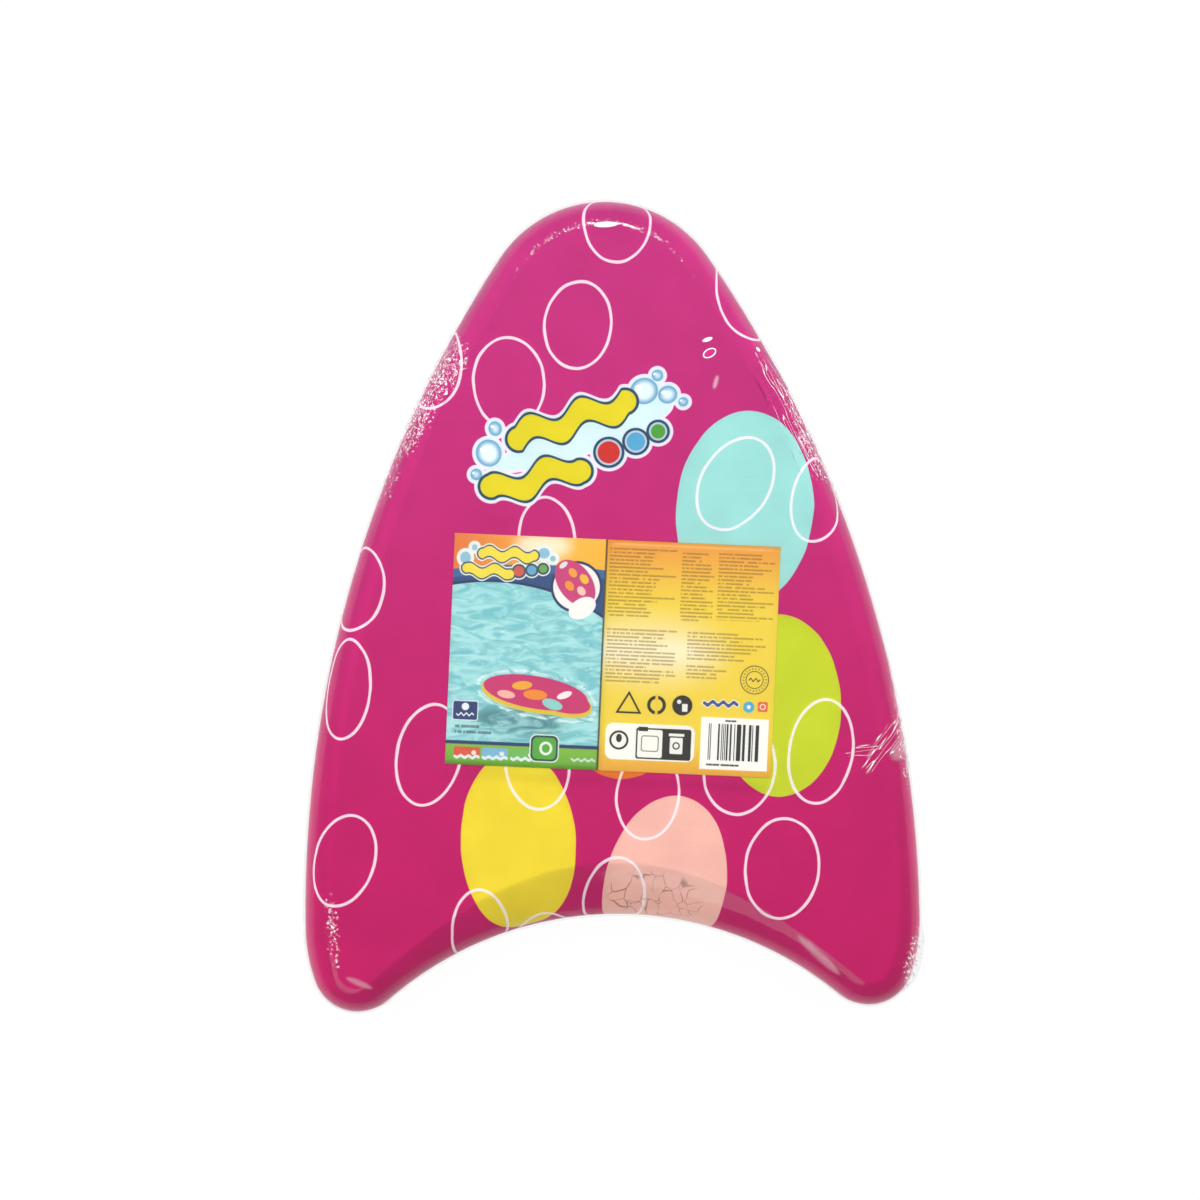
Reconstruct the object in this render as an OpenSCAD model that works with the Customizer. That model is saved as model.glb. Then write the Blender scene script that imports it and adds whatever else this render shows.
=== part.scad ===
// Kickboard float: a foam board in a sewn fabric cover, with its insert card
// and the shrink film that it is sold in.
//
// The board lies flat. +Z is up, +Y points to the round nose, and the two tail
// tips point to -Y. The origin is on the ground, under the middle of the board.

/* [Board] */
// Length from the nose to the tail tips
board_len = 420; // [350:5:510]
// Width at the widest line
board_w = 320; // [265:5:390]
// Thickness of the covered board
board_t = 35; // [28:1:46]

/* [Outline] */
// Radius of the round nose
nose_r = 65; // [50:1:80]
// How far the widest line lies ahead of the tail tips
widest_back = 44; // [38:1:56]
// Radius of each tail tip
tip_r = 23.5; // [19:0.5:29]
// How far the outer side of each tail tip lies inside the widest line
tip_set_in = 3.5; // [2.5:0.5:8]
// Depth of the arch cut into the tail
arch_depth = 49; // [36:1:60]

/* [Rounded edge] */
// Width of the roll on the upper edge at the nose and sides
side_roll = 13.5; // [8:0.5:16]
// Width of the wider, sloping roll along the tail arch
arch_roll = 28; // [16:1:34]
// Width of the roll on the lower edge, all the way round
under_roll = 13.5; // [8:0.5:16]
// Slope left where the roll meets the flat face, in degrees from flat
crease_angle = 15; // [8:1:24]

/* [Cover] */
// Thickness of the fabric cover
cover_t = 0.6; // [0.4:0.1:1]
// Height of the seam between the two covers above the board's underside
seam_h = 12; // [9:0.5:14]
// Width of the seam allowance that is turned in on each cover
allowance = 5; // [4:0.5:7]
// Air left between pieces that lie against each other
fit_gap = 0.15; // [0.1:0.05:0.3]

/* [Stitching] */
// Thickness of the sewing threads
thread_d = 0.5; // [0.3:0.1:0.8]
// Distance of the stitch line from the visible edge of the seam
stitch_in = 2; // [1.5:0.1:2.8]

/* [Insert card] */
// Board left bare on each side of the card, at the widest line
card_margin = 76; // [60:1:100]
// Height of the card
card_h = 119; // [80:1:130]
// Thickness of the card
card_t = 0.4; // [0.3:0.1:0.8]
// Distance of the fold to the left of the card's middle
fold_left = 5.5; // [0:0.5:20]
// Width of the scored fold line
score_w = 0.8; // [0.4:0.1:1.5]
// Depth of the scored fold line
score_depth = 0.15; // [0.05:0.05:0.2]
// Middle of the card, to the right of the board's middle
card_x = 2; // [-10:1:10]
// Middle of the card, ahead of the board's middle
card_y = -26; // [-35:1:0]
// Turn of the card, in degrees, clockwise seen from above
card_turn = 3.3; // [-8:0.1:8]

/* [Shrink film] */
// Thickness of the film
film_t = 0.2; // [0.15:0.05:0.4]
// Width of the welded edge where the two webs of film meet
weld_w = 0.8; // [0.4:0.1:2]
// Diameter of the vent hole that lets the air out
vent_d = 5; // [3:0.5:8]
// Middle of the vent hole, to the right of the board's middle
vent_x = 54; // [30:1:56]
// Middle of the vent hole, behind the nose
vent_back = 81; // [76:1:110]

/* [Hidden] */
$fn = 64;

half_l = board_len / 2;
half_w = board_w / 2;
film_out = fit_gap + film_t;
ground = film_out;
mid_z = board_t / 2;
film_lift = card_t + fit_gap;
card_w = board_w - 2 * card_margin;
tip_in = tip_r + tip_set_in;

// The outline is five arcs, each tangent to the next: nose, side, haunch, tip, arch.
function sq(v) = v * v;
widest_y = widest_back - half_l;

nose_c = [0, half_l - nose_r];
nose_drop = nose_c.y - widest_y;
side_r = (sq(half_w) + sq(nose_drop) - sq(nose_r)) / (2 * (half_w - nose_r));
side_c = [half_w - side_r, widest_y];
side_a = atan2(nose_drop, -side_c.x);

tip_c = [half_w - tip_in, tip_r - half_l];
tip_drop = widest_y - tip_c.y;
haunch_r = (sq(tip_in) + sq(tip_drop) - sq(tip_r)) / (2 * (tip_in - tip_r));
haunch_c = [half_w - haunch_r, widest_y];
haunch_a = atan2(-tip_drop, tip_c.x - haunch_c.x);

arch_rise = arch_depth - tip_r;
arch_r = (sq(tip_c.x) + sq(arch_rise) - sq(tip_r)) / (2 * (tip_r + arch_rise));
arch_c = [0, arch_depth - half_l - arch_r];
arch_a = atan2(tip_c.y - arch_c.y, tip_c.x);

// Where the legs part from the body: level with the inner edge of the arch's roll
fork_a = asin((arch_depth + arch_roll / 2 - widest_back) / side_r);

// Steps along each arc. The arch has as many as the side and haunch of its leg.
nose_steps = 9;
side_steps = 14;
fork_steps = 4;
haunch_steps = 4;
tip_steps = 6;
leg_steps = fork_steps + haunch_steps;
fork = nose_steps + side_steps;
tip = fork + leg_steps + tip_steps;
last = tip + tip_steps + leg_steps;

// Each outline point is its place, its outward normal, and how much of the arch's
// wide roll it has, from 0 on the sides to 1 in the middle of the arch.
function on_arc(c, r, a, out, wide) =
    [c.x + r * cos(a), c.y + r * sin(a), out * cos(a), out * sin(a), wide];
function arc_points(c, r, from, to, steps) =
    [for (i = [0:steps - 1]) on_arc(c, r, from + (to - from) * i / steps, 1, 0)];
function arch_point(i) =
    on_arc(arch_c, arch_r, arch_a + (90 - arch_a) * i / leg_steps, -1, sq(sin(90 * i / leg_steps)));

half_outline = [
    each arc_points(nose_c, nose_r, 90, side_a, nose_steps),
    each arc_points(side_c, side_r, side_a, fork_a, side_steps),
    each arc_points(side_c, side_r, fork_a, 0, fork_steps),
    each arc_points(haunch_c, haunch_r, 0, haunch_a, haunch_steps),
    each arc_points(tip_c, tip_r, haunch_a, arch_a - 180, 2 * tip_steps),
    for (i = [0:leg_steps]) arch_point(i)];
function mirrored(p) = [-p[0], p[1], -p[2], p[3], p[4]];
outline = [each half_outline, for (i = [last - 1:-1:1]) mirrored(half_outline[i])];
ring_n = len(outline);

// The edge is an arc from flat face to flat face, by its angle phi: 90 - crease_angle
// where it meets the top, 0 at the widest line and negative on the lower edge.
phi_end = 90 - crease_angle;
function roll(phi, wide) = phi < 0 ? under_roll : side_roll + (arch_roll - side_roll) * wide;
function roll_in(phi, wide) = roll(phi, wide) * (1 - cos(phi)) / (1 - cos(phi_end));
function roll_z(phi) = mid_z * (1 + sin(phi) / sin(phi_end));
function phi_at(z) = asin((z / mid_z - 1) * sin(phi_end));
function unit(v) = v / norm(v);
function roll_normal(phi, wide) =
    unit([mid_z * cos(phi) / sin(phi_end), roll(phi, wide) * sin(phi) / (1 - cos(phi_end))]);

// A station is a place on the edge at phi, moved depth into the board, then up by lift
// and inward by inset. At the two flat faces the depth is square to the face.
function at(phi, depth, lift = 0, inset = 0) = [phi, depth, lift, inset];
function place(s, p) =
    let (n = roll_normal(s[0], p[4]), at_face = abs(s[0]) >= phi_end,
         along = at_face ? (1 - abs(n.y)) / n.x : n.x, down = at_face ? sign(n.y) : n.y)
    [roll_in(s[0], p[4]) + s[1] * along + s[3], roll_z(s[0]) - s[1] * down + s[2]];
function ring(s) = [for (p = outline) let (q = place(s, p))
    [p[0] - q[0] * p[2], p[1] - q[0] * p[3], q[1] + ground]];

function left(i) = (ring_n - i) % ring_n;
function quad(a, b, c, d) = [[a, b, c], [a, c, d]];
// A flat face: strips across the body, and strips across each leg beyond the fork.
cap = concat(
    [[0, 1, left(1)]],
    [for (i = [1:fork - 2]) each quad(i, i + 1, left(i + 1), left(i))],
    [[last, left(fork), left(fork - 1)], [last, left(fork - 1), fork - 1], [last, fork - 1, fork]],
    [for (k = [1:tip - fork - 1]) each concat(
        quad(tip - k - 1, tip - k, tip + k, tip + k + 1),
        quad(left(tip - k), left(tip - k - 1), left(tip + k + 1), left(tip + k)))],
    [[tip - 1, tip, tip + 1], [left(tip), left(tip - 1), left(tip + 1)]]);
function flipped(faces) = [for (f = faces) [f[2], f[1], f[0]]];
function shifted(faces, by) = [for (f = faces) [for (v = f) v + by]];
// The quads between ring a and ring b, split along the same diagonal on both sides of
// the board, and on the inner and outer faces of a skin, where phi rises instead of falls.
function wall(a, b, rising) = [for (i = [0:ring_n - 1])
    let (j = (i + 1) % ring_n, ai = a * ring_n + i, aj = a * ring_n + j,
         bi = b * ring_n + i, bj = b * ring_n + j)
    each (rising != (i >= last) ? quad(bi, bj, aj, ai) : quad(ai, bi, bj, aj))];

// A closed solid from a list of stations, with a flat face on the first and the last.
module shell(stations) {
    n = len(stations);
    polyhedron(
        points = [for (s = stations) each ring(s)],
        faces = concat(
            cap,
            [for (i = [0:n - 2]) each wall(i, i + 1, stations[i + 1][0] > stations[i][0])],
            shifted(flipped(cap), (n - 1) * ring_n)));
}

// A closed strand that runs right round the board, from a loop of stations.
module strand(stations) {
    n = len(stations);
    polyhedron(
        points = [for (s = stations) each ring(s)],
        faces = [for (i = [0:n - 1]) each wall(i, (i + 1) % n, false)]);
}

// The seam allowances, the threads on them, and the slot that they press into the foam
seam_phi = phi_at(seam_h);
seam_tilt = roll_normal(seam_phi, 0).y;
slot_half = 2 * fit_gap + cover_t + thread_d;
core_depth = cover_t + fit_gap;
// Angle at which a surface depth inside the board is rise above the seam
function phi_by_seam(rise, depth) = phi_at(seam_h + rise + depth * seam_tilt);
slot_top = phi_by_seam(slot_half, core_depth);
slot_bottom = phi_by_seam(-slot_half, core_depth);

// All the pieces share these angles, so that their facets stay parallel.
upper = [phi_end, 0.8 * phi_end, 0.6 * phi_end, 0.4 * phi_end, 0.2 * phi_end, 0];
lower = [(slot_bottom - phi_end) / 2, -phi_end];
function reversed(list) = [for (i = [len(list) - 1:-1:0]) list[i]];
function along(phis, depth) = [for (phi = phis) at(phi, depth)];

module foam_core() {
    slot_in = allowance + fit_gap;
    color("white") shell([
        each along(upper, core_depth),
        at(slot_top, core_depth),
        at(seam_phi, 0, slot_half, slot_in),
        at(seam_phi, 0, -slot_half, slot_in),
        at(slot_bottom, core_depth),
        each along(lower, core_depth)]);
}

module top_cover() {
    rim = fit_gap / 2;
    bend = phi_by_seam(rim + cover_t, cover_t);
    color([0.79, 0.17, 0.42]) shell([
        each along(upper, 0),
        at(slot_top, 0),
        at(seam_phi, 0, rim),
        at(seam_phi, 0, rim, allowance),
        at(seam_phi, 0, rim + cover_t, allowance),
        at(bend, cover_t),
        at(slot_top, cover_t),
        each reversed(along(upper, cover_t))]);
}

module bottom_cover() {
    rim = fit_gap / 2;
    bend = phi_by_seam(-rim - cover_t, cover_t);
    color([0.95, 0.84, 0.24]) shell([
        each reversed(along(lower, cover_t)),
        at(slot_bottom, cover_t),
        at(bend, cover_t),
        at(seam_phi, 0, -rim - cover_t, allowance),
        at(seam_phi, 0, -rim, allowance),
        at(seam_phi, 0, -rim),
        at(slot_bottom, 0),
        each along(lower, 0)]);
}

// A square-set strand, thread_d thick, on the stitch line at rise above the seam
module thread(rise) {
    r = thread_d / 2;
    strand([
        at(seam_phi, 0, rise + r, stitch_in),
        at(seam_phi, 0, rise, stitch_in - r),
        at(seam_phi, 0, rise - r, stitch_in),
        at(seam_phi, 0, rise, stitch_in + r)]);
}

thread_rise = fit_gap + cover_t + thread_d / 2;

module needle_thread() {
    color([0.85, 0.25, 0.5]) thread(thread_rise);
}

module bobbin_thread() {
    color([0.9, 0.8, 0.3]) thread(-thread_rise);
}

module insert_card() {
    translate([card_x, card_y, ground + board_t + fit_gap])
        rotate(-card_turn)
            color([0.93, 0.66, 0.2]) difference() {
                translate([-card_w / 2, -card_h / 2, 0]) cube([card_w, card_h, card_t]);
                translate([-fold_left - score_w / 2, -card_h, card_t - score_depth])
                    cube([score_w, 2 * card_h, card_t]);
            }
}

// The film rides over the card on top, and lies on the cover everywhere else.
function film_top_at(depth) = [for (phi = upper) at(phi, depth, film_lift * sin(phi))];

module film_top() {
    rim = fit_gap / 2;
    color([0.85, 0.9, 0.95, 0.3]) difference() {
        shell([
            for (s = film_top_at(-film_out)) if (s[0] > 0) s,
            at(0, -film_out, rim + film_t),
            at(0, -film_out, rim + film_t, -weld_w),
            at(0, -film_out, rim, -weld_w),
            at(0, -fit_gap, rim),
            for (s = reversed(film_top_at(-fit_gap))) if (s[0] > 0) s]);
        translate([vent_x, half_l - vent_back, board_t]) cylinder(d = vent_d, h = board_t);
    }
}

module film_bottom() {
    rim = fit_gap / 2;
    under = [slot_top, seam_phi, slot_bottom, each lower];
    color([0.85, 0.9, 0.95, 0.3]) shell([
        each reversed(along(under, -fit_gap)),
        at(0, -fit_gap, -rim),
        at(0, -film_out, -rim, -weld_w),
        at(0, -film_out, -rim - film_t, -weld_w),
        at(0, -film_out, -rim - film_t),
        each along(under, -film_out)]);
}

foam_core();
top_cover();
bottom_cover();
needle_thread();
bobbin_thread();
insert_card();
film_top();
film_bottom();
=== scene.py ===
# %% [markdown]
# # A kickboard float in its shop film
#
# The object is a foam swimming board in a sewn, printed cover. It is sold with a folded insert card
# on top and clear shrink film round the whole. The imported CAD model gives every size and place. This
# lesson puts cloth, print, stitches, card and film on that frame. All the shapes are worked out in
# millimetres, as on a maker's drawing, and scaled to metres at the end.

import math

import bmesh
import bpy
from mathutils import Matrix, Vector, noise


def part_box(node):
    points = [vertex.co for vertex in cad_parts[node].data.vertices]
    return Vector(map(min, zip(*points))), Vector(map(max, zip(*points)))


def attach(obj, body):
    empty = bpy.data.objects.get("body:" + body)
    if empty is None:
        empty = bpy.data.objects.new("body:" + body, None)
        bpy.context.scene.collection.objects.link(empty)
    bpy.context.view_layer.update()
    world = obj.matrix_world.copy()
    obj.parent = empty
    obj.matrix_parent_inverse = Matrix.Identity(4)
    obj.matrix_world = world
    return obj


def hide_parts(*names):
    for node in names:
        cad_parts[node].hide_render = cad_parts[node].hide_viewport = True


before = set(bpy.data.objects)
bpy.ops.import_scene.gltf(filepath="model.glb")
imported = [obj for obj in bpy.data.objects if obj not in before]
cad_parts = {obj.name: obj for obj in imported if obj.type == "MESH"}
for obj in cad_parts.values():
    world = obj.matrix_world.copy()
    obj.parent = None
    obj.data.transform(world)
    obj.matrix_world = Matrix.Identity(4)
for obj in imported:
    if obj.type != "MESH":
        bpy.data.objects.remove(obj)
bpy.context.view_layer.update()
MM = 0.001
print("CAD nodes:", sorted(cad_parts))

# %% [markdown]
# ## The camera
#
# The board is seen from straight above, from far enough away that its sides hardly show. The view is
# centred a little beside the board's own middle, and the board lies turned by less than a degree.

# %% Camera
camera_data = bpy.data.cameras.new("camera")
camera_data.lens = 86.3
camera_data.sensor_width = 36
camera = bpy.data.objects.new("camera", camera_data)
camera.location = (-0.0042, 0.0026, 1.5175)
camera.rotation_euler = (0, 0, math.radians(-0.8))
bpy.context.scene.collection.objects.link(camera)
bpy.context.scene.camera = camera
print("camera height", round(camera.location.z, 3), "m")

# %% [markdown]
# ## The outline of the board
#
# The maker's pattern for such a board is a chain of arcs, each of which runs smoothly into the next:
# round nose, long side, haunch, tail tip, and the hollow arch between the tips. One vertex is spun
# round each centre in turn, so the outline is exact and its vertices are evenly spaced. Each vertex
# keeps its outward direction, because every layer of the board is set in from the same outline.

# %% Sizes from the frame, in mm
half_w, half_l, top_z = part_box("top_cover")[1] / MM
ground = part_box("bottom_cover")[0].z / MM
board_t = top_z - ground
mid_z = board_t / 2
nose_r, tip_r, tip_set_in = 65, 23.5, 3.5
widest_back, arch_depth = 44, 49
widest_y = widest_back - half_l
print(f"board {2 * half_w:.1f} x {2 * half_l:.1f} x {board_t:.1f} mm")


# %% The five arcs of the right half
def tangent_r(reach, drop, r):
    """Radius of an arc that starts reach outside a smaller arc's middle, and runs into it."""
    return (reach**2 + drop**2 - r**2) / (2 * (reach - r))


nose_c = Vector((0, half_l - nose_r, 0))
nose_drop = nose_c.y - widest_y
side_r = tangent_r(half_w, nose_drop, nose_r)
side_c = Vector((half_w - side_r, widest_y, 0))
side_a = math.degrees(math.atan2(nose_drop, -side_c.x))
tip_in = tip_r + tip_set_in
tip_c = Vector((half_w - tip_in, tip_r - half_l, 0))
tip_drop = widest_y - tip_c.y
haunch_r = tangent_r(tip_in, tip_drop, tip_r)
haunch_c = Vector((half_w - haunch_r, widest_y, 0))
haunch_a = math.degrees(math.atan2(-tip_drop, tip_c.x - haunch_c.x))
arch_rise = arch_depth - tip_r
arch_r = (tip_c.x**2 + arch_rise**2 - tip_r**2) / (2 * (tip_r + arch_rise))
arch_c = Vector((0, arch_depth - half_l - arch_r, 0))
arch_a = math.degrees(math.atan2(tip_c.y - arch_c.y, tip_c.x))

# Each arc: centre, radius, first and last angle, which side is out, and the share of the arch's
# wide roll at its two ends.
right_arcs = [
    (nose_c, nose_r, 90, side_a, 1, 0, 0),
    (side_c, side_r, side_a, 0, 1, 0, 0),
    (haunch_c, haunch_r, 0, haunch_a, 1, 0, 0),
    (tip_c, tip_r, haunch_a, arch_a - 180, 1, 0, 0),
    (arch_c, arch_r, arch_a, 90, -1, 0, 1),
]
left_arcs = [
    (Vector((-c.x, c.y, 0)), r, 180 - b, 180 - a, side, w1, w0)
    for c, r, a, b, side, w0, w1 in reversed(right_arcs)
]
print("side radius", round(side_r, 1), "arch radius", round(arch_r, 1))


# %% Spinning the outline
def outline(bm, spacing):
    """The ring of vertices, clockwise from the nose, each with its base, outward way and order."""
    base = bm.verts.layers.float_vector.new("base")
    out = bm.verts.layers.float_vector.new("out")
    order = bm.verts.layers.int.new("order")
    bm.verts.layers.float_vector.new("flat")
    bm.verts.layers.float.new("along")
    ring = [bm.verts.new((0, half_l, 0))]
    ring[0][base] = (0, half_l, 0)
    ring[0][out] = (0, 1, 0)
    walked = 0
    for centre, radius, a, b, side, w0, w1 in right_arcs + left_arcs:
        sweep = math.radians(b - a)
        steps = max(2, round(radius * abs(sweep) / spacing))
        have = len(bm.verts)
        bmesh.ops.spin(bm, geom=[ring[-1]], cent=centre, axis=(0, 0, 1), angle=sweep, steps=steps)
        bm.verts.ensure_lookup_table()
        for i, v in enumerate(bm.verts[have:], 1):
            at = i / steps
            way = (v.co - centre).normalized() * side
            wide = math.sin(math.pi / 2 * (w0 + (w1 - w0) * at)) ** 2
            v[base] = (v.co.x, v.co.y, walked + radius * abs(sweep) * at)
            v[out] = (way.x, way.y, wide)
            v[order] = len(ring)
            ring.append(v)
        walked += radius * abs(sweep)
    bmesh.ops.weld_verts(bm, targetmap={ring.pop(): ring[0]})
    return ring


trial = bmesh.new()
print("outline vertices at 3 mm:", len(outline(trial, 3)))
trial.free()

# %% [markdown]
# ## Rolling the edge
#
# The edge of the board is a rounded roll. It is narrow on the nose and sides, and opens into a wide
# slope along the arch. A place on the roll is its angle phi: 75 degrees where it meets the top
# face, 0 at the widest line, negative below. A station is such an angle with a depth into the board,
# a lift and an inset. Every layer uses the same stations, so the layers nest like an onion's skins.

# %% The roll's profile
side_roll, arch_roll, under_roll = 13.5, 28, 13.5
phi_end = 75


def roll_width(phi, wide):
    return under_roll if phi < 0 else side_roll + (arch_roll - side_roll) * wide


def cos_d(a):
    return math.cos(math.radians(a))


def sin_d(a):
    return math.sin(math.radians(a))


def on_roll(phi, wide):
    """How far in from the outline, and how high, the surface is at phi."""
    inset = roll_width(phi, wide) * (1 - cos_d(phi)) / (1 - cos_d(phi_end))
    return Vector((inset, mid_z * (1 + sin_d(phi) / sin_d(phi_end))))


def way_out(phi, wide):
    """The surface's normal at phi: its outward and its upward part."""
    across = mid_z * cos_d(phi) / sin_d(phi_end)
    up = roll_width(phi, wide) * sin_d(phi) / (1 - cos_d(phi_end))
    return Vector((across, up)).normalized()


def place(station, wide, bulge):
    """How far in from the outline, and how high, a station is; bulge pushes it outward."""
    phi, depth, lift, inset = station
    depth = depth - bulge
    n = way_out(phi, wide)
    along, up = n.x, n.y
    if abs(phi) >= phi_end:
        along, up = (1 - abs(n.y)) / n.x, math.copysign(1, n.y)
    surface = on_roll(phi, wide)
    return surface.x + depth * along + inset, surface.y - depth * up + lift


def unrolled(phi, wide):
    """Distance over the cloth from the upper crease down to phi."""
    steps = 10
    points = [on_roll(phi_end + (phi - phi_end) * i / steps, wide) for i in range(steps + 1)]
    return sum((b - a).length for a, b in zip(points, points[1:]))


seam_h = 12
seam_phi = math.degrees(math.asin((seam_h / mid_z - 1) * sin_d(phi_end)))
print("seam at", round(seam_phi, 1), "degrees,", round(unrolled(seam_phi, 0), 1), "mm over the edge")


# %% Laying one ring on its station
def set_ring(bm, ring, station, bulge):
    layers = bm.verts.layers
    base, out = layers.float_vector["base"], layers.float_vector["out"]
    flat, along = layers.float_vector["flat"], layers.float["along"]
    reach, to_seam = {}, {}
    for v in ring:
        x, y, walked = v[base]
        ox, oy, wide = v[out]
        key = round(wide, 2)
        if key not in reach:
            reach[key] = unrolled(station[0], wide) - roll_width(1, wide)
            to_seam[key] = unrolled(seam_phi, wide) - unrolled(station[0], wide)
        inset, z = place(station, wide, bulge(x, y, walked, station))
        v.co = (x - inset * ox, y - inset * oy, z + ground)
        v[flat] = (x + reach[key] * ox, y + reach[key] * oy, to_seam[key])
        v[along] = walked


def joining(chain):
    return [e for a, b in zip(chain, chain[1:]) for e in a.link_edges if e.other_vert(a) is b]


def next_ring(bm, ring):
    """A new ring, extruded from this one."""
    made = bmesh.ops.extrude_edge_only(bm, edges=joining(ring + ring[:1]))["geom"]
    order = bm.verts.layers.int["order"]
    return sorted((v for v in made if isinstance(v, bmesh.types.BMVert)), key=lambda v: v[order])


# %% [markdown]
# ## Closing the flat faces
#
# A flat face could be one polygon, but then it could never ripple. Grid Fill spreads a net of
# nearly square cells between two chains of the ring: the nose, and the arch from tip to tip. A few
# rounds of smoothing even out the cells, and each vertex then takes the height of the ripples.

# %% The flat face
FAR_FROM_SEAM = 50


def flat_face(bm, ring, z, bulge, station):
    half = len(ring) // 2
    corner = min(range(half), key=lambda i: (ring[i].co.xy - Vector((133, -196))).length)
    nose = ring[corner - half :] + ring[: half - corner + 1]
    tail = ring[corner : len(ring) - corner + 1]
    have = len(bm.verts)
    bmesh.ops.grid_fill(bm, edges=joining(nose) + joining(tail), mat_nr=0, use_smooth=True)
    bm.verts.ensure_lookup_table()
    inner = bm.verts[have:]
    for _ in range(12):
        bmesh.ops.smooth_vert(bm, verts=inner, factor=0.5, use_axis_x=True, use_axis_y=True)
    flat = bm.verts.layers.float_vector["flat"]
    side = math.copysign(1, station[0])
    for v in inner:
        v.co.z = z + side * bulge(v.co.x, v.co.y, 0, station)
        v[flat] = (v.co.x, v.co.y, FAR_FROM_SEAM)
    return len(inner)


# %% A closed skin from its stations
def no_bulge(x, y, walked, station):
    return 0


def to_object(bm, name):
    """Turns the drawing in mm into a finished object in metres, at the origin."""
    bmesh.ops.recalc_face_normals(bm, faces=bm.faces)
    bmesh.ops.scale(bm, vec=(MM, MM, MM), verts=bm.verts)
    mesh = bpy.data.meshes.new(name)
    bm.to_mesh(mesh)
    bm.free()
    mesh.shade_smooth()
    thing = bpy.data.objects.new(name, mesh)
    bpy.context.scene.collection.objects.link(thing)
    size = [round(side / MM, 1) for side in thing.dimensions]
    print(name, "faces", len(mesh.polygons), "size mm", size)
    return thing


def shell(name, stations, spacing, bulge=no_bulge):
    """A closed skin: a ring at each station, and a flat face on the first and the last."""
    bm = bmesh.new()
    ring = outline(bm, spacing)
    set_ring(bm, ring, stations[0], bulge)
    first = ring
    for station in stations[1:]:
        ring = next_ring(bm, ring)
        set_ring(bm, ring, station, bulge)
    for end, station in ((first, stations[0]), (ring, stations[-1])):
        z = place(station, 0, 0)[1] + ground
        flat_face(bm, end, z, bulge, station)
    for kind, spare in (("float_vector", "base"), ("float_vector", "out"), ("int", "order")):
        layers = getattr(bm.verts.layers, kind)
        layers.remove(layers[spare])
    return to_object(bm, name)


# %% [markdown]
# ## The foam board
#
# Inside is a board moulded from foam beads. Round its edge runs a slot that the turned-in seam of
# the cover presses into. It is hidden in the finished float, but it is still a piece of its own.

# %% Foam board
cover_t, fit_gap, thread_d, allowance = 0.6, 0.15, 0.5, 5
slot_half = 2 * fit_gap + cover_t + thread_d
core_depth = cover_t + fit_gap
seam_tilt = way_out(seam_phi, 0).y


def phi_by_seam(rise, depth):
    """Angle at which a surface depth inside the board is rise above the seam."""
    z = seam_h + rise + depth * seam_tilt
    return math.degrees(math.asin((z / mid_z - 1) * sin_d(phi_end)))


def at(phi, depth=0.0, lift=0.0, inset=0.0):
    return (phi, depth, lift, inset)


slot_top = phi_by_seam(slot_half, core_depth)
slot_bottom = phi_by_seam(-slot_half, core_depth)
upper = [75, 66, 57, 48, 39, 30, 20, 10, 0]
lower = [-35, -45, -55, -65, -75]
slot_in = allowance + fit_gap
foam_board = shell(
    "foam_board",
    [at(phi, core_depth) for phi in upper]
    + [
        at(slot_top, core_depth),
        at(seam_phi, 0, slot_half, slot_in),
        at(seam_phi, 0, -slot_half, slot_in),
        at(slot_bottom, core_depth),
    ]
    + [at(phi, core_depth) for phi in lower],
    4,
)

# %% [markdown]
# ## The two covers
#
# The cover is two cloths: a printed one over the top and round the edge, and a plain one below.
# They are sewn with the right sides together and turned, so at the seam both roll inward and their
# edges hide in the slot. Cloth could be a sheet with a Solidify modifier, but walking the stations
# down the outer face and back up the inner one gives a closed cloth whose hidden edges are right too.

# %% Soft lips of the seam
rim = fit_gap / 2
lip = [(0.9, 0.0), (0.45, 0.12), (0.2, 0.35), (0.05, 0.8), (0.0, 1.6), (0.0, allowance)]


def pucker(x, y, walked, station):
    """The cloth dips a little at each stitch, close to the seam, and sags slightly in patches by a slow
    noise.
    """
    near = max(0, 1 - abs(station[0] - seam_phi) / 14) if station[1] < cover_t else 0
    soft = noise.noise(Vector((x, y, 0)) / 34)
    return -0.06 * near * (1 + math.sin(walked * 2 * math.pi / 6)) / 2 - 0.05 * max(0, soft)


top_face = [at(phi) for phi in upper + [-6, slot_top - 1]]
top_cloth = shell(
    "printed_top_cloth",
    top_face
    + [at(seam_phi, 0, rim + lift, inset) for lift, inset in lip]
    + [at(seam_phi, 0, rim + cover_t, allowance)]
    + [at(phi_by_seam(rim + cover_t, cover_t), cover_t), at(slot_top, cover_t)]
    + [at(phi, cover_t) for phi in reversed(upper)],
    3,
    pucker,
)

# %% Plain under cloth
under_face = [at(phi) for phi in [slot_bottom + 1] + lower]
under_cloth = shell(
    "plain_under_cloth",
    [at(phi, cover_t) for phi in reversed(lower)]
    + [at(slot_bottom, cover_t), at(phi_by_seam(-rim - cover_t, cover_t), cover_t)]
    + [at(seam_phi, 0, -rim - cover_t, allowance)]
    + [at(seam_phi, 0, -rim - lift, inset) for lift, inset in reversed(lip)]
    + under_face,
    3,
    pucker,
)


# %% [markdown]
# ## The stitches
#
# A lockstitch shows as a row of short, slightly plump dashes on each side of the seam allowance.
# The CAD model has one plain strand for each thread. Here each stitch is its own small spindle, laid
# along the strand's line at the outline's even spacing, a few dozen faces each.

# %% Rows of stitches
stitch_pitch, stitch_in = 3, 2


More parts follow.
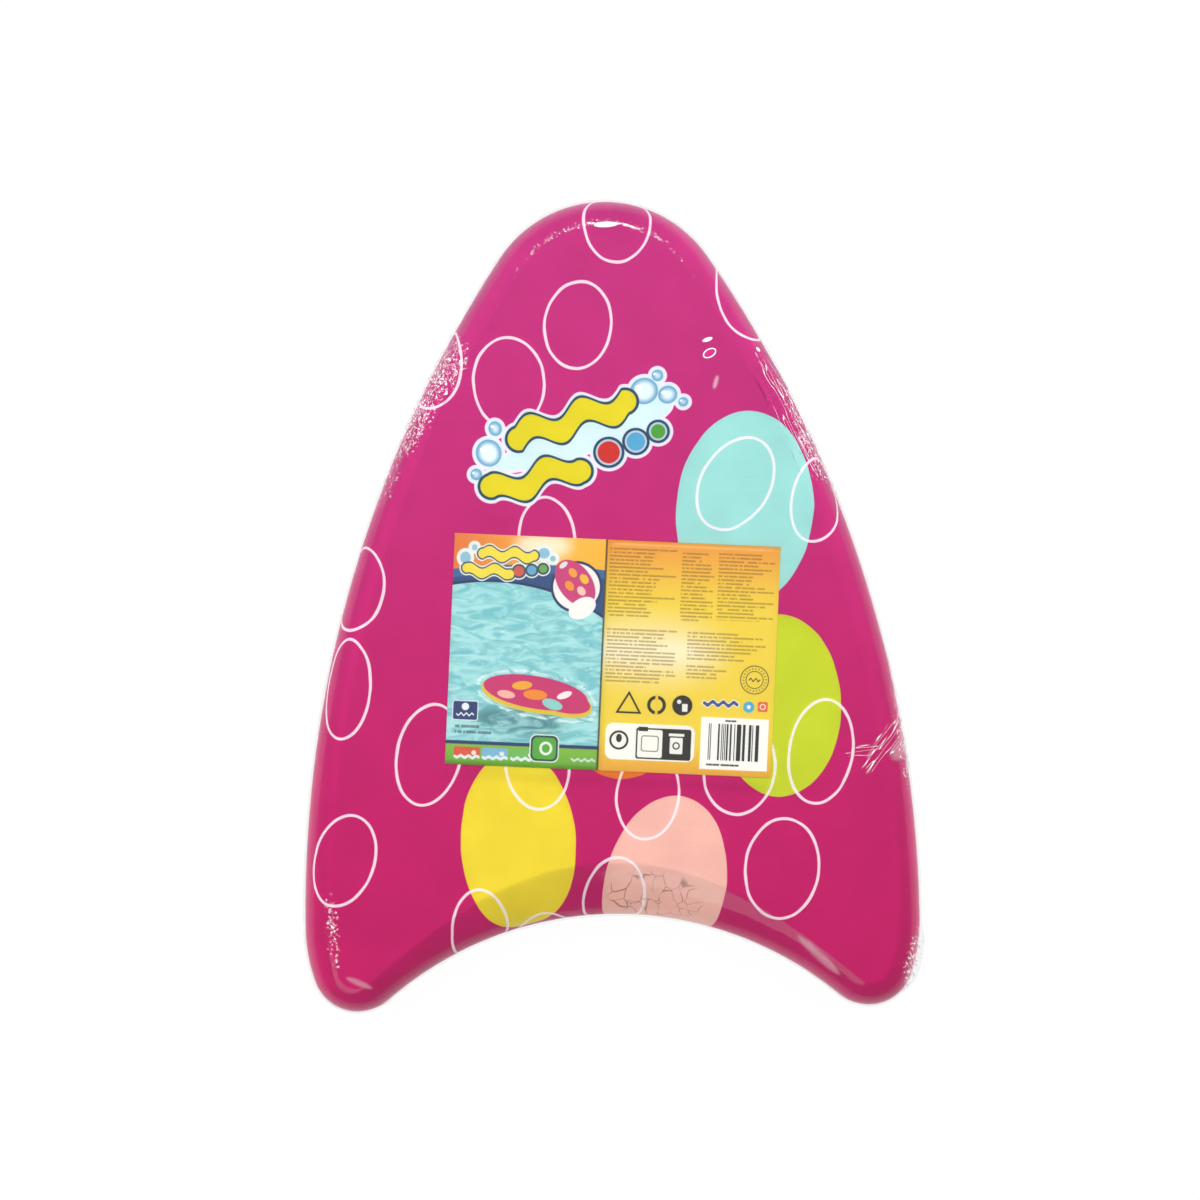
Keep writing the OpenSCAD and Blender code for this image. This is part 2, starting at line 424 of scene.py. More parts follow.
def stitch_row(name, node):
    low, high = (corner.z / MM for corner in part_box(node))
    one = bmesh.new()
    bmesh.ops.create_uvsphere(one, u_segments=6, v_segments=6, radius=1)
    slim = (0.47 * stitch_pitch, thread_d / 2, (high - low) / 2)
    bmesh.ops.rotate(one, verts=one.verts, cent=(0, 0, 0), matrix=Matrix.Rotation(math.pi / 2, 3, "Y"))
    bmesh.ops.scale(one, verts=one.verts, vec=slim)
    spindle = bpy.data.meshes.new("spindle")
    one.to_mesh(spindle)
    one.free()
    path = bmesh.new()
    bm = bmesh.new()
    ring = outline(path, stitch_pitch)
    out = path.verts.layers.float_vector["out"]
    inset = place(at(seam_phi, 0, 0, stitch_in), 0, 0)[0]
    for v in ring:
        ox, oy, _ = v[out]
        here = Vector((v.co.x - inset * ox, v.co.y - inset * oy, (low + high) / 2))
        stitch = spindle.copy()
        turn = math.atan2(oy, ox) + math.pi / 2
        stitch.transform(Matrix.Translation(here) @ Matrix.Rotation(turn, 4, "Z"))
        bm.from_mesh(stitch)
        bpy.data.meshes.remove(stitch)
    path.free()
    print(name, "stitches", len(ring))
    return to_object(bm, name)


needle_stitches = stitch_row("needle_stitches", "needle_thread")
bobbin_stitches = stitch_row("bobbin_stitches", "bobbin_thread")

# %% [markdown]
# ## The film
#
# Shrink film is two webs, welded in a thin fin round the edge and shrunk tight with warm air. It
# lies on the cloth, is lifted in a shallow tent by the card, and keeps folds and crumpled places
# where the air left it last. A cloth simulation would need cells far smaller than these folds, so
# each fold is a height added to the skin at its own patch, square to the surface.

# %% Patches of folds
film_t = 0.2
film_out = fit_gap + film_t
card_low, card_high = (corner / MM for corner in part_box("insert_card"))
card_mid = (card_low + card_high) / 2
card_size = Vector((168, 119))
card_turn = math.radians(-3.3)
card_lift = card_high.z + fit_gap + 0.05 - (top_z + fit_gap)


def in_patch(x, y, middle, half, turn):
    """Place inside an oval patch, in mm along and across it, and its strength from 0 to 1."""
    a = math.radians(turn)
    dx, dy = x - middle[0], y - middle[1]
    u, v = dx * math.cos(a) + dy * math.sin(a), dy * math.cos(a) - dx * math.sin(a)
    inside = max(0, 1 - (u / half[0]) ** 2 - (v / half[1]) ** 2)
    return u, v, inside * inside * (3 - 2 * inside)


# Middle, half length and width, turn, width of one fold, height of the folds, all in mm
long_folds = [
    ((101, 92), (56, 12), -65, 5.2, 0.5),
    ((143, -78), (13, 12), 40, 4.6, 0.6),
    ((150, -50), (46, 7), -82, 4.4, 0.35),
    ((-146, -60), (70, 6), 87, 4.6, 0.2),
    ((-40, -150), (60, 14), 25, 7, 0.12),
    ((62, -146), (60, 14), -28, 7, 0.16),
]
crumples = [
    ((-83, 122), (22, 13), 62, 0.34),
    ((-100, 92), (30, 12), 62, 0.26),
    ((100, 84), (40, 7), -65, 0.3),
    ((150, -62), (42, 7), -82, 0.5),
    ((-143, -168), (22, 6), 95, 0.35),
    ((150, -180), (22, 7), 75, 0.5),
]


def tent(x, y):
    """The film's lift over the card, falling away over 7 mm outside its edges."""
    dx, dy = x - card_mid.x, y - card_mid.y
    u = abs(dx * math.cos(card_turn) + dy * math.sin(card_turn)) - card_size.x / 2
    v = abs(dy * math.cos(card_turn) - dx * math.sin(card_turn)) - card_size.y / 2
    away = math.hypot(max(u, 0), max(v, 0)) / 7
    fall = max(0, 1 - max(0, away - 0.15))
    return card_lift * fall * fall * (3 - 2 * fall)


def film_folds(x, y, walked, station):
    height = 0.06 * (1 + noise.noise(Vector((x, y, 3)) / 30))
    for middle, half, turn, fold, tall in long_folds:
        u, v, strength = in_patch(x, y, middle, half, turn)
        if strength:
            sway = 1.6 * noise.noise(Vector((u / 16, v / 9, fold)))
            ridge = max(0, math.sin(2 * math.pi * v / fold + 3 * sway)) ** 2
            height += tall * strength * ridge * (0.6 + 0.8 * abs(noise.noise(Vector((u / 9, v / 4, 1)))))
    for middle, half, turn, tall in crumples:
        strength = in_patch(x, y, middle, half, turn)[2]
        if strength:
            height += tall * strength * abs(noise.noise(Vector((x, y, 7)) / 3.4))
    return height


def film_lie(x, y, walked, station):
    on_top = station[0] >= phi_end
    return film_folds(x, y, walked, station) + (tent(x, y) if on_top else 0)


# %% [markdown]
# The weld's fin is a ragged line less than a millimetre wide, apart from one place beside the right
# tail tip where a scrap of film sticks out.

# %% Upper film
def film_edge(x, y, walked, station):
    if station[3] >= 0:
        return film_lie(x, y, walked, station)
    scrap = in_patch(x, y, (157, -186), (20, 16), 80)[2] * 2.2
    return 0.35 * noise.noise(Vector((walked / 5, 0, 0))) + scrap


weld_w = 0.8
upper_film = shell(
    "upper_film",
    [at(phi, -film_out) for phi in upper[:-1]]
    + [at(0, -film_out, rim + film_t), at(0, -film_out, rim + film_t, -weld_w)]
    + [at(0, -film_out, rim, -weld_w), at(0, -fit_gap, rim)]
    + [at(phi, -fit_gap) for phi in reversed(upper[:-1])],
    2.3,
    film_edge,
)

# %% Lower film
film_under = [slot_top, seam_phi, slot_bottom] + lower


def under_edge(x, y, walked, station):
    if station[0] <= -phi_end:
        return 0
    return film_edge(x, y, walked, station)


lower_film = shell(
    "lower_film",
    [at(phi, -fit_gap) for phi in reversed(film_under)]
    + [at(0, -fit_gap, -rim), at(0, -film_out, -rim, -weld_w)]
    + [at(0, -film_out, -rim - film_t, -weld_w), at(0, -film_out, -rim - film_t)]
    + [at(phi, -film_out) for phi in film_under],
    3,
    under_edge,
)

# %% [markdown]
# ## Tools for the finishes
#
# Every finish is built from nodes. A few short helpers place a node and join it, so that the cells
# below can say what is printed or woven, and not how each socket is wired.

# %% Node helpers
bench = {}


def work_on(tree):
    """From here on, the helpers add their nodes to this tree."""
    bench["tree"] = tree


def add_node(kind):
    return bench["tree"].nodes.new("ShaderNode" + kind)


def feed(socket, value):
    if isinstance(value, bpy.types.NodeSocket):
        bench["tree"].links.new(value, socket)
    elif value is not None:
        socket.default_value = value


def fed(kind, values):
    """A new node of that kind, with its inputs fed in order."""
    node = add_node(kind)
    for socket, value in zip(node.inputs, values):
        feed(socket, value)
    return node


def calc(operation, *values):
    node = fed("Math", values)
    node.operation = operation
    return node.outputs[0]


def plus(a, b):
    return calc("ADD", a, b)


def minus(a, b):
    return calc("SUBTRACT", a, b)


def times(a, b):
    return calc("MULTIPLY", a, b)


def least(a, b):
    return calc("MINIMUM", a, b)


def most(a, b):
    return calc("MAXIMUM", a, b)


def calc_vector(operation, *values):
    node = fed("VectorMath", values)
    node.operation = operation
    return node.outputs["Value" if operation in ("LENGTH", "DOT_PRODUCT") else "Vector"]


def ramp(value, low, high, low_out=0.0, high_out=1.0):
    """A smooth step: low_out below low, high_out above high."""
    node = fed("MapRange", (value, low, high, low_out, high_out))
    node.interpolation_type = "SMOOTHSTEP"
    return node.outputs["Result"]


def blend(mask, under, over):
    """Colour over laid on colour under where mask is 1."""
    node = add_node("Mix")
    node.data_type = "RGBA"
    for i, value in ((0, mask), (6, under), (7, over)):
        feed(node.inputs[i], value)
    return node.outputs[2]


def texture(kind, vector, scale, output=0, **settings):
    node = add_node("Tex" + kind)
    for name, value in settings.items():
        if name in node.inputs:
            node.inputs[name].default_value = value
        else:
            setattr(node, name, value)
    feed(node.inputs["Vector"], vector)
    feed(node.inputs["Scale"], scale)
    return node.outputs[output]


def split(vector):
    return fed("SeparateXYZ", (vector,)).outputs


def join(x, y, z=0.0):
    return fed("CombineXYZ", (x, y, z)).outputs[0]


def turned_about(point, middle, angle):
    """A point seen from a middle, and turned round it."""
    node = add_node("VectorRotate")
    node.rotation_type = "Z_AXIS"
    feed(node.inputs["Vector"], calc_vector("SUBTRACT", point, middle))
    feed(node.inputs["Angle"], angle)
    return node.outputs[0]


def colour(r, g, b):
    """A screen colour, 0 to 255, as the linear one that nodes use."""
    lin = [(c / 255 / 12.92) if c < 11 else ((c / 255 + 0.055) / 1.055) ** 2.4 for c in (r, g, b)]
    return (*lin, 1)


# %% Groups and materials
ORIGIN = (0.0, 0.0, 0.0)


def new_group(name, inputs, outputs):
    """A node group with inputs {name: default}, of numbers or vectors, and outputs that are numbers."""
    tree = bpy.data.node_groups.new(name, "ShaderNodeTree")
    for label, value in inputs.items():
        kind = "NodeSocketFloat" if isinstance(value, (int, float)) else "NodeSocketVector"
        socket = tree.interface.new_socket(label, in_out="INPUT", socket_type=kind)
        socket.default_value = value
    for label in outputs:
        tree.interface.new_socket(label, in_out="OUTPUT", socket_type="NodeSocketFloat")
    work_on(tree)
    return tree, tree.nodes.new("NodeGroupInput").outputs, tree.nodes.new("NodeGroupOutput").inputs


def use(group, **values):
    node = add_node("Group")
    node.node_tree = group
    for name, value in values.items():
        feed(node.inputs[name], value)
    return node.outputs


def new_material(name):
    """A material with only its output, and its Principled shader, which the finish then feeds."""
    material = bpy.data.materials.new(name)
    material.use_nodes = True
    work_on(material.node_tree)
    return material, material.node_tree, material.node_tree.nodes["Principled BSDF"]


def mixed(share, under, over):
    """Shader over takes that share, and shader under the rest."""
    return fed("MixShader", (share, under, over)).outputs[0]


def shown_as(tree, surface):
    feed(tree.nodes["Material Output"].inputs[0], surface)


def bump(height, strength, distance_mm):
    node = add_node("Bump")
    feed(node.inputs["Height"], height)
    node.inputs["Strength"].default_value = strength
    node.inputs["Distance"].default_value = distance_mm * MM
    return node.outputs["Normal"]


def object_mm():
    """Object coordinates, in millimetres."""
    return calc_vector("MULTIPLY", add_node("TexCoord").outputs["Object"], (1 / MM,) * 3)


def attribute(name, output="Vector"):
    node = add_node("Attribute")
    node.attribute_name = name
    return node.outputs[output]


# %% [markdown]
# ## Shapes for printing
#
# Screen printing lays flat shapes of ink. Each shape here is a distance in millimetres from its
# outline, negative inside, so the same shape can be filled or drawn as a line of even width. An oval
# can't have an exact distance, but dividing by its slope makes one that is right near the line.

# %% Oval
oval, given, result = new_group(
    "Oval",
    {"Point": ORIGIN, "Middle": ORIGIN, "Half": (1.0, 1.0, 1.0), "Turn": 0.0},
    ["Distance"],
)
turned = turned_about(given["Point"], given["Middle"], given["Turn"])
once = calc_vector("DIVIDE", turned, given["Half"])
across = calc_vector("LENGTH", once)
slope = calc_vector("LENGTH", calc_vector("DIVIDE", once, given["Half"]))
size_of = calc("DIVIDE", across, most(slope, 1e-5))
feed(result["Distance"], times(minus(across, 1), size_of))

# %% Box with round corners
plate, given, result = new_group(
    "Plate",
    {"Point": ORIGIN, "Middle": ORIGIN, "Half": (1.0, 1.0, 1.0), "Corner": 0.0},
    ["Distance"],
)
away = calc_vector("ABSOLUTE", calc_vector("SUBTRACT", given["Point"], given["Middle"]))
rounding = join(given["Corner"], given["Corner"])
over = calc_vector("ADD", calc_vector("SUBTRACT", away, given["Half"]), rounding)
axes = split(over)
outside = join(most(axes[0], 0), most(axes[1], 0))
inside = least(most(axes[0], axes[1]), 0)
total = plus(calc_vector("LENGTH", outside), inside)
feed(result["Distance"], minus(total, given["Corner"]))

# %% Wave: a stroke that follows a sine, with round ends
wave, given, result = new_group(
    "Wave",
    {"Point": ORIGIN, "Middle": ORIGIN, "Reach": 10.0, "Swing": 3.0, "Length": 20.0},
    ["Distance"],
)
axes = split(calc_vector("SUBTRACT", given["Point"], given["Middle"]))
held = least(axes[0], given["Reach"])
held = most(held, times(given["Reach"], -1))
angle = times(calc("DIVIDE", held, given["Length"]), 2 * math.pi)
crest = times(calc("SINE", angle), given["Swing"])
gap = join(minus(axes[0], held), minus(axes[1], crest))
feed(result["Distance"], calc_vector("LENGTH", gap))


# %% Printing with them
SOFT_EDGE = 0.12
ANY_HEIGHT = 1e4


def ink(distance, grow=0.0, soft=SOFT_EDGE):
    """1 inside a shape that is grown by grow mm."""
    return ramp(distance, grow - soft, grow + soft, 1.0, 0.0)


def ring_of(distance, width, soft=SOFT_EDGE):
    """1 on a line of that width along a shape's outline."""
    return ink(calc("ABSOLUTE", distance), width / 2, soft)


def oval_at(point, x, y, w, h, turn=0):
    """turn is in degrees, anticlockwise."""
    values = {"Middle": (x, y, 0), "Half": (w, h, ANY_HEIGHT), "Turn": math.radians(-turn)}
    return use(oval, Point=point, **values)["Distance"]


def plate_at(point, x, y, w, h, corner=0.0):
    values = {"Point": point, "Middle": (x, y, 0), "Half": (w, h, 0), "Corner": corner}
    return use(plate, **values)["Distance"]


def wave_at(point, x, y, reach, swing, length):
    values = {"Point": point, "Middle": (x, y, 0), "Reach": reach, "Swing": swing, "Length": length}
    return use(wave, **values)["Distance"]


def nearest(distances):
    found = distances[0]
    for distance in distances[1:]:
        found = least(found, distance)
    return found


def flat_point(source):
    """A point without its height, so that print runs straight down an edge."""
    axes = split(source)
    return join(axes[0], axes[1])


print("printing shapes:", [g.name for g in bpy.data.node_groups])

# %% [markdown]
# ## Woven cloth
#
# Both covers are a fine plain weave: warp and weft pass over and under each other in a chequer. Two
# sine waves make the yarns, and a slow noise varies how tight they lie.

# %% Weave
weave, given, result = new_group(
    "Weave", {"Point": ORIGIN, "Pitch": 0.55}, ["Height", "Shade"]
)
yarns = calc_vector("SCALE", given["Point"])
yarns.node.inputs["Scale"].default_value = 2 * math.pi
axes = split(yarns)
warp = calc("SINE", calc("DIVIDE", axes[0], given["Pitch"]))
weft = calc("SINE", calc("DIVIDE", axes[1], given["Pitch"]))
slack = texture("Noise", given["Point"], 0.04, Detail=2)
thread_height = times(times(warp, weft), 0.5)
feed(result["Height"], plus(thread_height, times(slack, 0.6)))
streak_place = calc_vector("MULTIPLY", given["Point"], (0.02, 0.9, 0))
streak = texture("Noise", streak_place, 1, Detail=3, Roughness=0.7)
feed(result["Shade"], plus(times(streak, 0.6), slack))


def cloth_finish(shader, paint, point):
    """Lays the weave, painted shade in the seam's groove, the seam's puckers and the hand's soft shine
    on a painted cloth.
    """
    yarn = use(weave, Point=point)
    shade = ramp(yarn["Shade"], 0.45, 1.15, 0.0, 1.0)
    darker = blend(times(shade, 0.09), paint, (0.0, 0.0, 0.0, 1))
    to_seam = split(attribute("flat"))[2]
    # painted shade: the cloth is coloured darker towards the seam, where it rolls into the groove of the
    # slot
    seam_painted_shade = ramp(to_seam, 0.3, 6.0, 0.35, 0.0)
    feed(shader.inputs["Base Color"], blend(seam_painted_shade, darker, (0.02, 0.01, 0.02, 1)))
    walked = times(attribute("along", "Fac"), 2 * math.pi / stitch_pitch)
    dips = times(calc("SINE", walked), ramp(to_seam, 0.0, 5.0, 1.2, 0.0))
    height = plus(yarn["Height"], dips)
    feed(shader.inputs["Normal"], bump(height, 0.35, 0.12))
    rough = ramp(yarn["Shade"], 0.4, 1.2, 0.5, 0.64)
    feed(shader.inputs["Roughness"], rough)
    shader.inputs["IOR"].default_value = 1.25
    shader.inputs["Specular IOR Level"].default_value = 0.2
    shader.inputs["Sheen Weight"].default_value = 0.03


# %% [markdown]
# ## The printed top
#
# The print is a deep pink ground with five big ovals of colour, a scatter of thin hand-drawn rings,
# and an emblem. The emblem here is a plain splash of waves and bubbles, with no lettering. A slow
# noise bends every shape by half a millimetre, as a brush would. The cloth carries a map of how it
# lay before it was pulled round the edge, so the print follows the cloth and doesn't smear down it.

# %% Big ovals and rings, in mm: middle, half width, half height, turn anticlockwise
big_ovals = [
    ((71, 48.5, 35.5, 50.6, -6), (168, 226, 220)),
    ((87, -53, 32.3, 47, 0), (207, 219, 48)),
    ((6, -44, 33, 46, 0), (232, 128, 44)),
    ((-48, -122.6, 29.7, 48, 2), (242, 221, 56)),
    ((27, -146, 31.2, 48, -13), (246, 196, 182)),
]
thin_rings = [
    (7.6, 200, 17.5, 23.5, -4),
    (-13.6, 144.5, 17.2, 22.5, -8),
    (77, 160, 18, 23, 3),
    (-91, 126, 17, 23, 4),
    (-49.6, 115, 18.2, 23.5, 3),
    (66.5, 61.6, 17.5, 25.6, -32),
    (109.5, 53.5, 14, 22.7, -14),
    (-31, 33, 14.6, 23, 3),
    (-132, 10.7, 16.5, 22, -10),
    (-136.7, -41.5, 13.5, 25.8, -6),
    (-93.6, -76, 16.4, 26.3, -12),
    (-138.5, -130, 16.0, 24, -20),
    (-37.6, -82, 16.2, 23, 4),
    (19, -98, 16.0, 23, -8),
    (66.5, -85, 18.2, 24, -10),
    (108.5, -77, 16.3, 27, -10),
    (87.6, -137, 18.9, 25.8, -8),
    (0.8, -153, 15.5, 23, -10),
    (-68.3, -169, 14.6, 23, 2),
    (-34.4, -184, 14.6, 23, 0),
]

# %% Colour of the printed cloth
top_print, tree, shader = new_material("printed cloth")
lay = calc_vector("MULTIPLY", attribute("flat"), (1.0, 1.0, 0.0))
sway = calc_vector("SUBTRACT", texture("Noise", lay, 1 / 15, 1, Detail=1), (0.5, 0.5, 0.5))
point = calc_vector("ADD", lay, calc_vector("MULTIPLY", sway, (1.1, 1.1, 0)))
# painted reflection: the pink ground is painted lighter and bluer towards the nose, standing in for the
# film's veil of reflected light
painted_veil_towards_nose = ramp(split(lay)[1], -200.0, 200.0)
paint = blend(painted_veil_towards_nose, colour(202, 14, 108), colour(203, 50, 135))
for shape, tint in big_ovals:
    paint = blend(ink(oval_at(point, *shape)), paint, colour(*tint))
rings = nearest([calc("ABSOLUTE", oval_at(point, *r)) for r in thin_rings])
line_w = texture("Noise", lay, 0.08)
brush = plus(times(line_w, 0.6), 0.42)
ring_mask = ink(minus(rings, brush))
pale = blend(0.86, paint, (1.0, 1.0, 1.0, 1))
paint = blend(ring_mask, paint, blend(0.12, pale, colour(255, 170, 225)))
print("rings", len(thin_rings), "ovals", len(big_ovals))

# %% [markdown]
# The emblem is printed last: a white halo, pale water, dark outlines, yellow waves, and bubbles.

# %% Emblem
spot = turned_about(lay, (-17.0, 84.0, 0.0), math.radians(-17))
waves = nearest([
    minus(wave_at(spot, 3, 11, 29, 3.8, 28), 5.8),
    minus(wave_at(spot, -24, -12, 23, 3.6, 28), 5.6),
])
buttons = [
    ((16, -10.5, 6.6, 6.6), (214, 58, 52)),
    ((31, -9.5, 5.6, 5.6), (96, 178, 214)),
    ((43.5, -8.0, 4.6, 4.6), (88, 172, 66)),
]
bubbles = [(-43, 8, 7, 7.4), (-36, 19, 3.8, 4.2), (-52.5, -0.5, 3.4, 3.4)]
bubbles += [(43, 14, 7.6, 7.2), (54, 8.5, 5.4, 5.0), (52, 19.5, 3.4, 3.4), (60.5, 2.5, 3.0, 2.8)]
button_edge = nearest([oval_at(spot, *shape) for shape, tint in buttons])
bubble_edge = nearest([oval_at(spot, *shape) for shape in bubbles])
dark_edge = least(waves, button_edge)
halo = least(minus(dark_edge, 1.7), bubble_edge)
water = [oval_at(spot, 0, 0, 41, 7), oval_at(spot, 34, 4, 20, 7)]
halo = least(halo, nearest(water))
paint = blend(ink(halo, 1.5), paint, colour(250, 236, 250))
paint = blend(ink(halo, 0.5), paint, colour(222, 243, 248))
sky_blue = blend(ramp(bubble_edge, -4.0, -0.6), colour(236, 248, 252), colour(120, 178, 208))
paint = blend(ink(bubble_edge, -0.4), paint, sky_blue)
glints = [(x - w * 0.3, y + h * 0.35, w * 0.24, h * 0.2) for x, y, w, h in bubbles]
glint_edge = nearest([oval_at(spot, *shape) for shape in glints])
paint = blend(ink(glint_edge), paint, colour(255, 255, 255))
paint = blend(ink(dark_edge, 1.5), paint, colour(52, 84, 108))
paint = blend(ink(waves), paint, colour(234, 219, 40))
for shape, tint in buttons:
    edge = oval_at(spot, *shape)
    paint = blend(ink(edge, 0.1), paint, colour(200, 214, 232))
    paint = blend(ink(edge, -0.9), paint, colour(*tint))

# %% Crackle: the pale pink ink has cracked a little on the slope of the arch
cracked_at = calc_vector("ADD", point, calc_vector("MULTIPLY", sway, (14, 14, 0)))
crackle = texture("Voronoi", cracked_at, 0.15, 0, feature="DISTANCE_TO_EDGE")
crackle = ramp(crackle, 0.012, 0.035, 1.0, 0.0)
broken = ramp(texture("Noise", lay, 0.09, Detail=1), 0.38, 0.5)
by_arch = ramp(oval_at(lay, 22, -152, 27, 16, -8), -4.0, 0.0, 1.0, 0.0)
crackle = times(times(crackle, broken), by_arch)
paint = blend(times(crackle, 0.7), paint, colour(150, 96, 84))
cloth_finish(shader, paint, lay)
print("printed cloth nodes", len(tree.nodes))

# %% Plain under cloth: the same weave, dyed yellow
under_dye, tree, shader = new_material("dyed cloth")
lay = calc_vector("MULTIPLY", attribute("flat"), (1.0, 1.0, 0.0))
cloudy = texture("Noise", lay, 0.02, Detail=3)
dye = blend(ramp(cloudy, 0.3, 0.7), colour(240, 208, 52), colour(246, 218, 66))
cloth_finish(shader, dye, lay)


# %% [markdown]
# ## Foam, thread and card stock
#
# Moulded bead foam is a packing of round cells a few millimetres across, each a little brighter in its
# middle, with painted shade in the grooves between the cells. Thread is two plies twisted together, with
# painted shade in the groove between them. Both are small patterns in the bump and colour.

# %% Bead foam
bead_foam, tree, shader = new_material("bead foam")
point = object_mm()
cell = texture("Voronoi", point, 0.33, "Distance", feature="SMOOTH_F1")
# painted shade: the colour darkens towards each cell's rim, in the grooves between the beads; the same
# mask is the beads' dome in the bump
skin = ramp(cell, 0.2, 0.75, 1.0, 0.0)
feed(shader.inputs["Base Color"], blend(skin, colour(214, 216, 214), colour(248, 248, 246)))
feed(shader.inputs["Roughness"], ramp(cell, 0.2, 0.7, 0.5, 0.85))
feed(shader.inputs["Normal"], bump(skin, 0.6, 0.4))


# %% Sewing thread
def thread_finish(name, tint):
    material, tree, shader = new_material(name)
    point = object_mm()
    plies = texture("Wave", point, 1.1, "Fac", bands_direction="DIAGONAL")
    # painted shade: the groove between the plies is coloured darker
    ply_groove_shade = colour(*[c * 0.7 for c in tint])
    feed(shader.inputs["Base Color"], blend(plies, ply_groove_shade, colour(*tint)))
    feed(shader.inputs["Normal"], bump(plies, 0.7, 0.08))
    shader.inputs["Roughness"].default_value = 0.55
    shader.inputs["Sheen Weight"].default_value = 0.3
    return material


needle_finish = thread_finish("needle thread", (212, 60, 124))
bobbin_finish = thread_finish("bobbin thread", (238, 206, 70))

# %% [markdown]
# ## The insert card
#
# The card is a thin folded board, printed on its upper face. It could be one box, but a real card
# has a scored groove where it folds, edges that are crushed a little round by the cutter, and leaves
# that never lie quite flat. So a block is cut across at the fold, the strip between is pressed in,
# the rims are bevelled, and the leaves get a rise of a few hundredths of a millimetre.

# %% Card
fold_x = -5.5
score_w, score_depth = 0.8, 0.15
card_t = card_high.z - card_low.z


def cut_across(bm, place_at, way):
    geometry = [*bm.verts, *bm.edges, *bm.faces]
    return bmesh.ops.bisect_plane(bm, geom=geometry, plane_co=place_at, plane_no=way)


def make_card():
    bm = bmesh.new()
    bmesh.ops.create_cube(bm, size=1)
    bmesh.ops.scale(bm, verts=bm.verts, vec=(card_size.x, card_size.y, card_t))
    for cut in (fold_x - score_w / 2, fold_x + score_w / 2):
        cut_across(bm, (cut, 0, 0), (1, 0, 0))
    top = [f for f in bm.faces if f.normal.z > 0.5]
    strip = [f for f in top if abs(f.calc_center_median().x - fold_x) < score_w]
    bmesh.ops.inset_region(bm, faces=strip, thickness=0.12, depth=-score_depth, use_boundary=False)
    sharp = [e for e in bm.edges if e.is_manifold and e.calc_face_angle() > 1]
    rims = [e for e in sharp if abs(e.verts[0].co.x - fold_x) > 2]
    bmesh.ops.bevel(
        bm, geom=rims, offset=0.09, affect="EDGES", segments=2, profile=0.5, material=-1
    )
    for cut in range(-77, 84, 7):
        cut_across(bm, (cut + 0.5, 0, 0), (1, 0, 0))
    for cut in range(-56, 60, 7):
        cut_across(bm, (0, cut + 0.25, 0), (0, 1, 0))
    for v in bm.verts:
        leaf_bow = math.sin(math.pi * min(1, abs(v.co.x - fold_x) / 85))
        v.co.z += 0.05 * leaf_bow * (1 + noise.noise(v.co / 40)) / 2
        if v.co.x < fold_x:
            continue
        v.co.z += 0.02 * noise.noise(v.co / 25)
    bmesh.ops.rotate(bm, verts=bm.verts, cent=(0, 0, 0), matrix=Matrix.Rotation(card_turn, 3, "Z"))
    bmesh.ops.translate(bm, verts=bm.verts, vec=card_mid)
    return to_object(bm, "folded_insert_card")


card = make_card()

# %% [markdown]
# The left leaf shows a pool with a board afloat, and the right leaf is the small print. All of it is
# generic: the words are plain dashes, the signs are simple shapes, the bars mean nothing, and nobody
# is in the pool. Each leaf has its own print, because one with both would be too long for Cycles.

# %% Small print: ragged lines of dashes in a box
small_print, given, result = new_group(
    "Small print",
    {"Point": ORIGIN, "Middle": ORIGIN, "Half": (1.0, 1.0, 1.0), "Pitch": 1.9},
    ["Mask"],
)
inside = calc_vector("SUBTRACT", given["Point"], given["Middle"])
axes = split(inside)
half = split(given["Half"])
row = calc("DIVIDE", minus(half[1], axes[1]), given["Pitch"])
row_number = calc("FLOOR", row)
in_row = calc("ABSOLUTE", minus(calc("FRACT", row), 0.5))
chance = add_node("TexWhiteNoise")
chance.noise_dimensions = "2D"
feed(chance.inputs["Vector"], join(row_number, half[0]))
length = times(ramp(chance.outputs["Value"], 0.0, 1.0, 1.15, 2.1), half[0])
ragged = minus(minus(length, half[0]), axes[0])
dash_place = join(times(axes[0], 0.8), times(row_number, 9.7))
dash = texture("Noise", dash_place, 1, Detail=0)
inked = times(ramp(dash, 0.3, 0.42), ramp(in_row, 0.18, 0.3, 1.0, 0.0))
inked = times(inked, ramp(ragged, -0.1, 0.1))
in_box = calc_vector("SUBTRACT", calc_vector("ABSOLUTE", inside), given["Half"])
over = split(in_box)
within = ramp(most(over[0], over[1]), -0.1, 0.1, 1.0, 0.0)
feed(result["Mask"], times(inked, within))

# %% The card's own coordinates, and its stock
def card_place():
    mapping = add_node("Mapping")
    mapping.vector_type = "TEXTURE"
    feed(mapping.inputs["Vector"], object_mm())
    mapping.inputs["Location"].default_value = card_mid
    mapping.inputs["Rotation"].default_value = (0, 0, card_turn)
    spot = flat_point(mapping.outputs[0])
    x, y, _ = split(spot)
    return spot, x, y


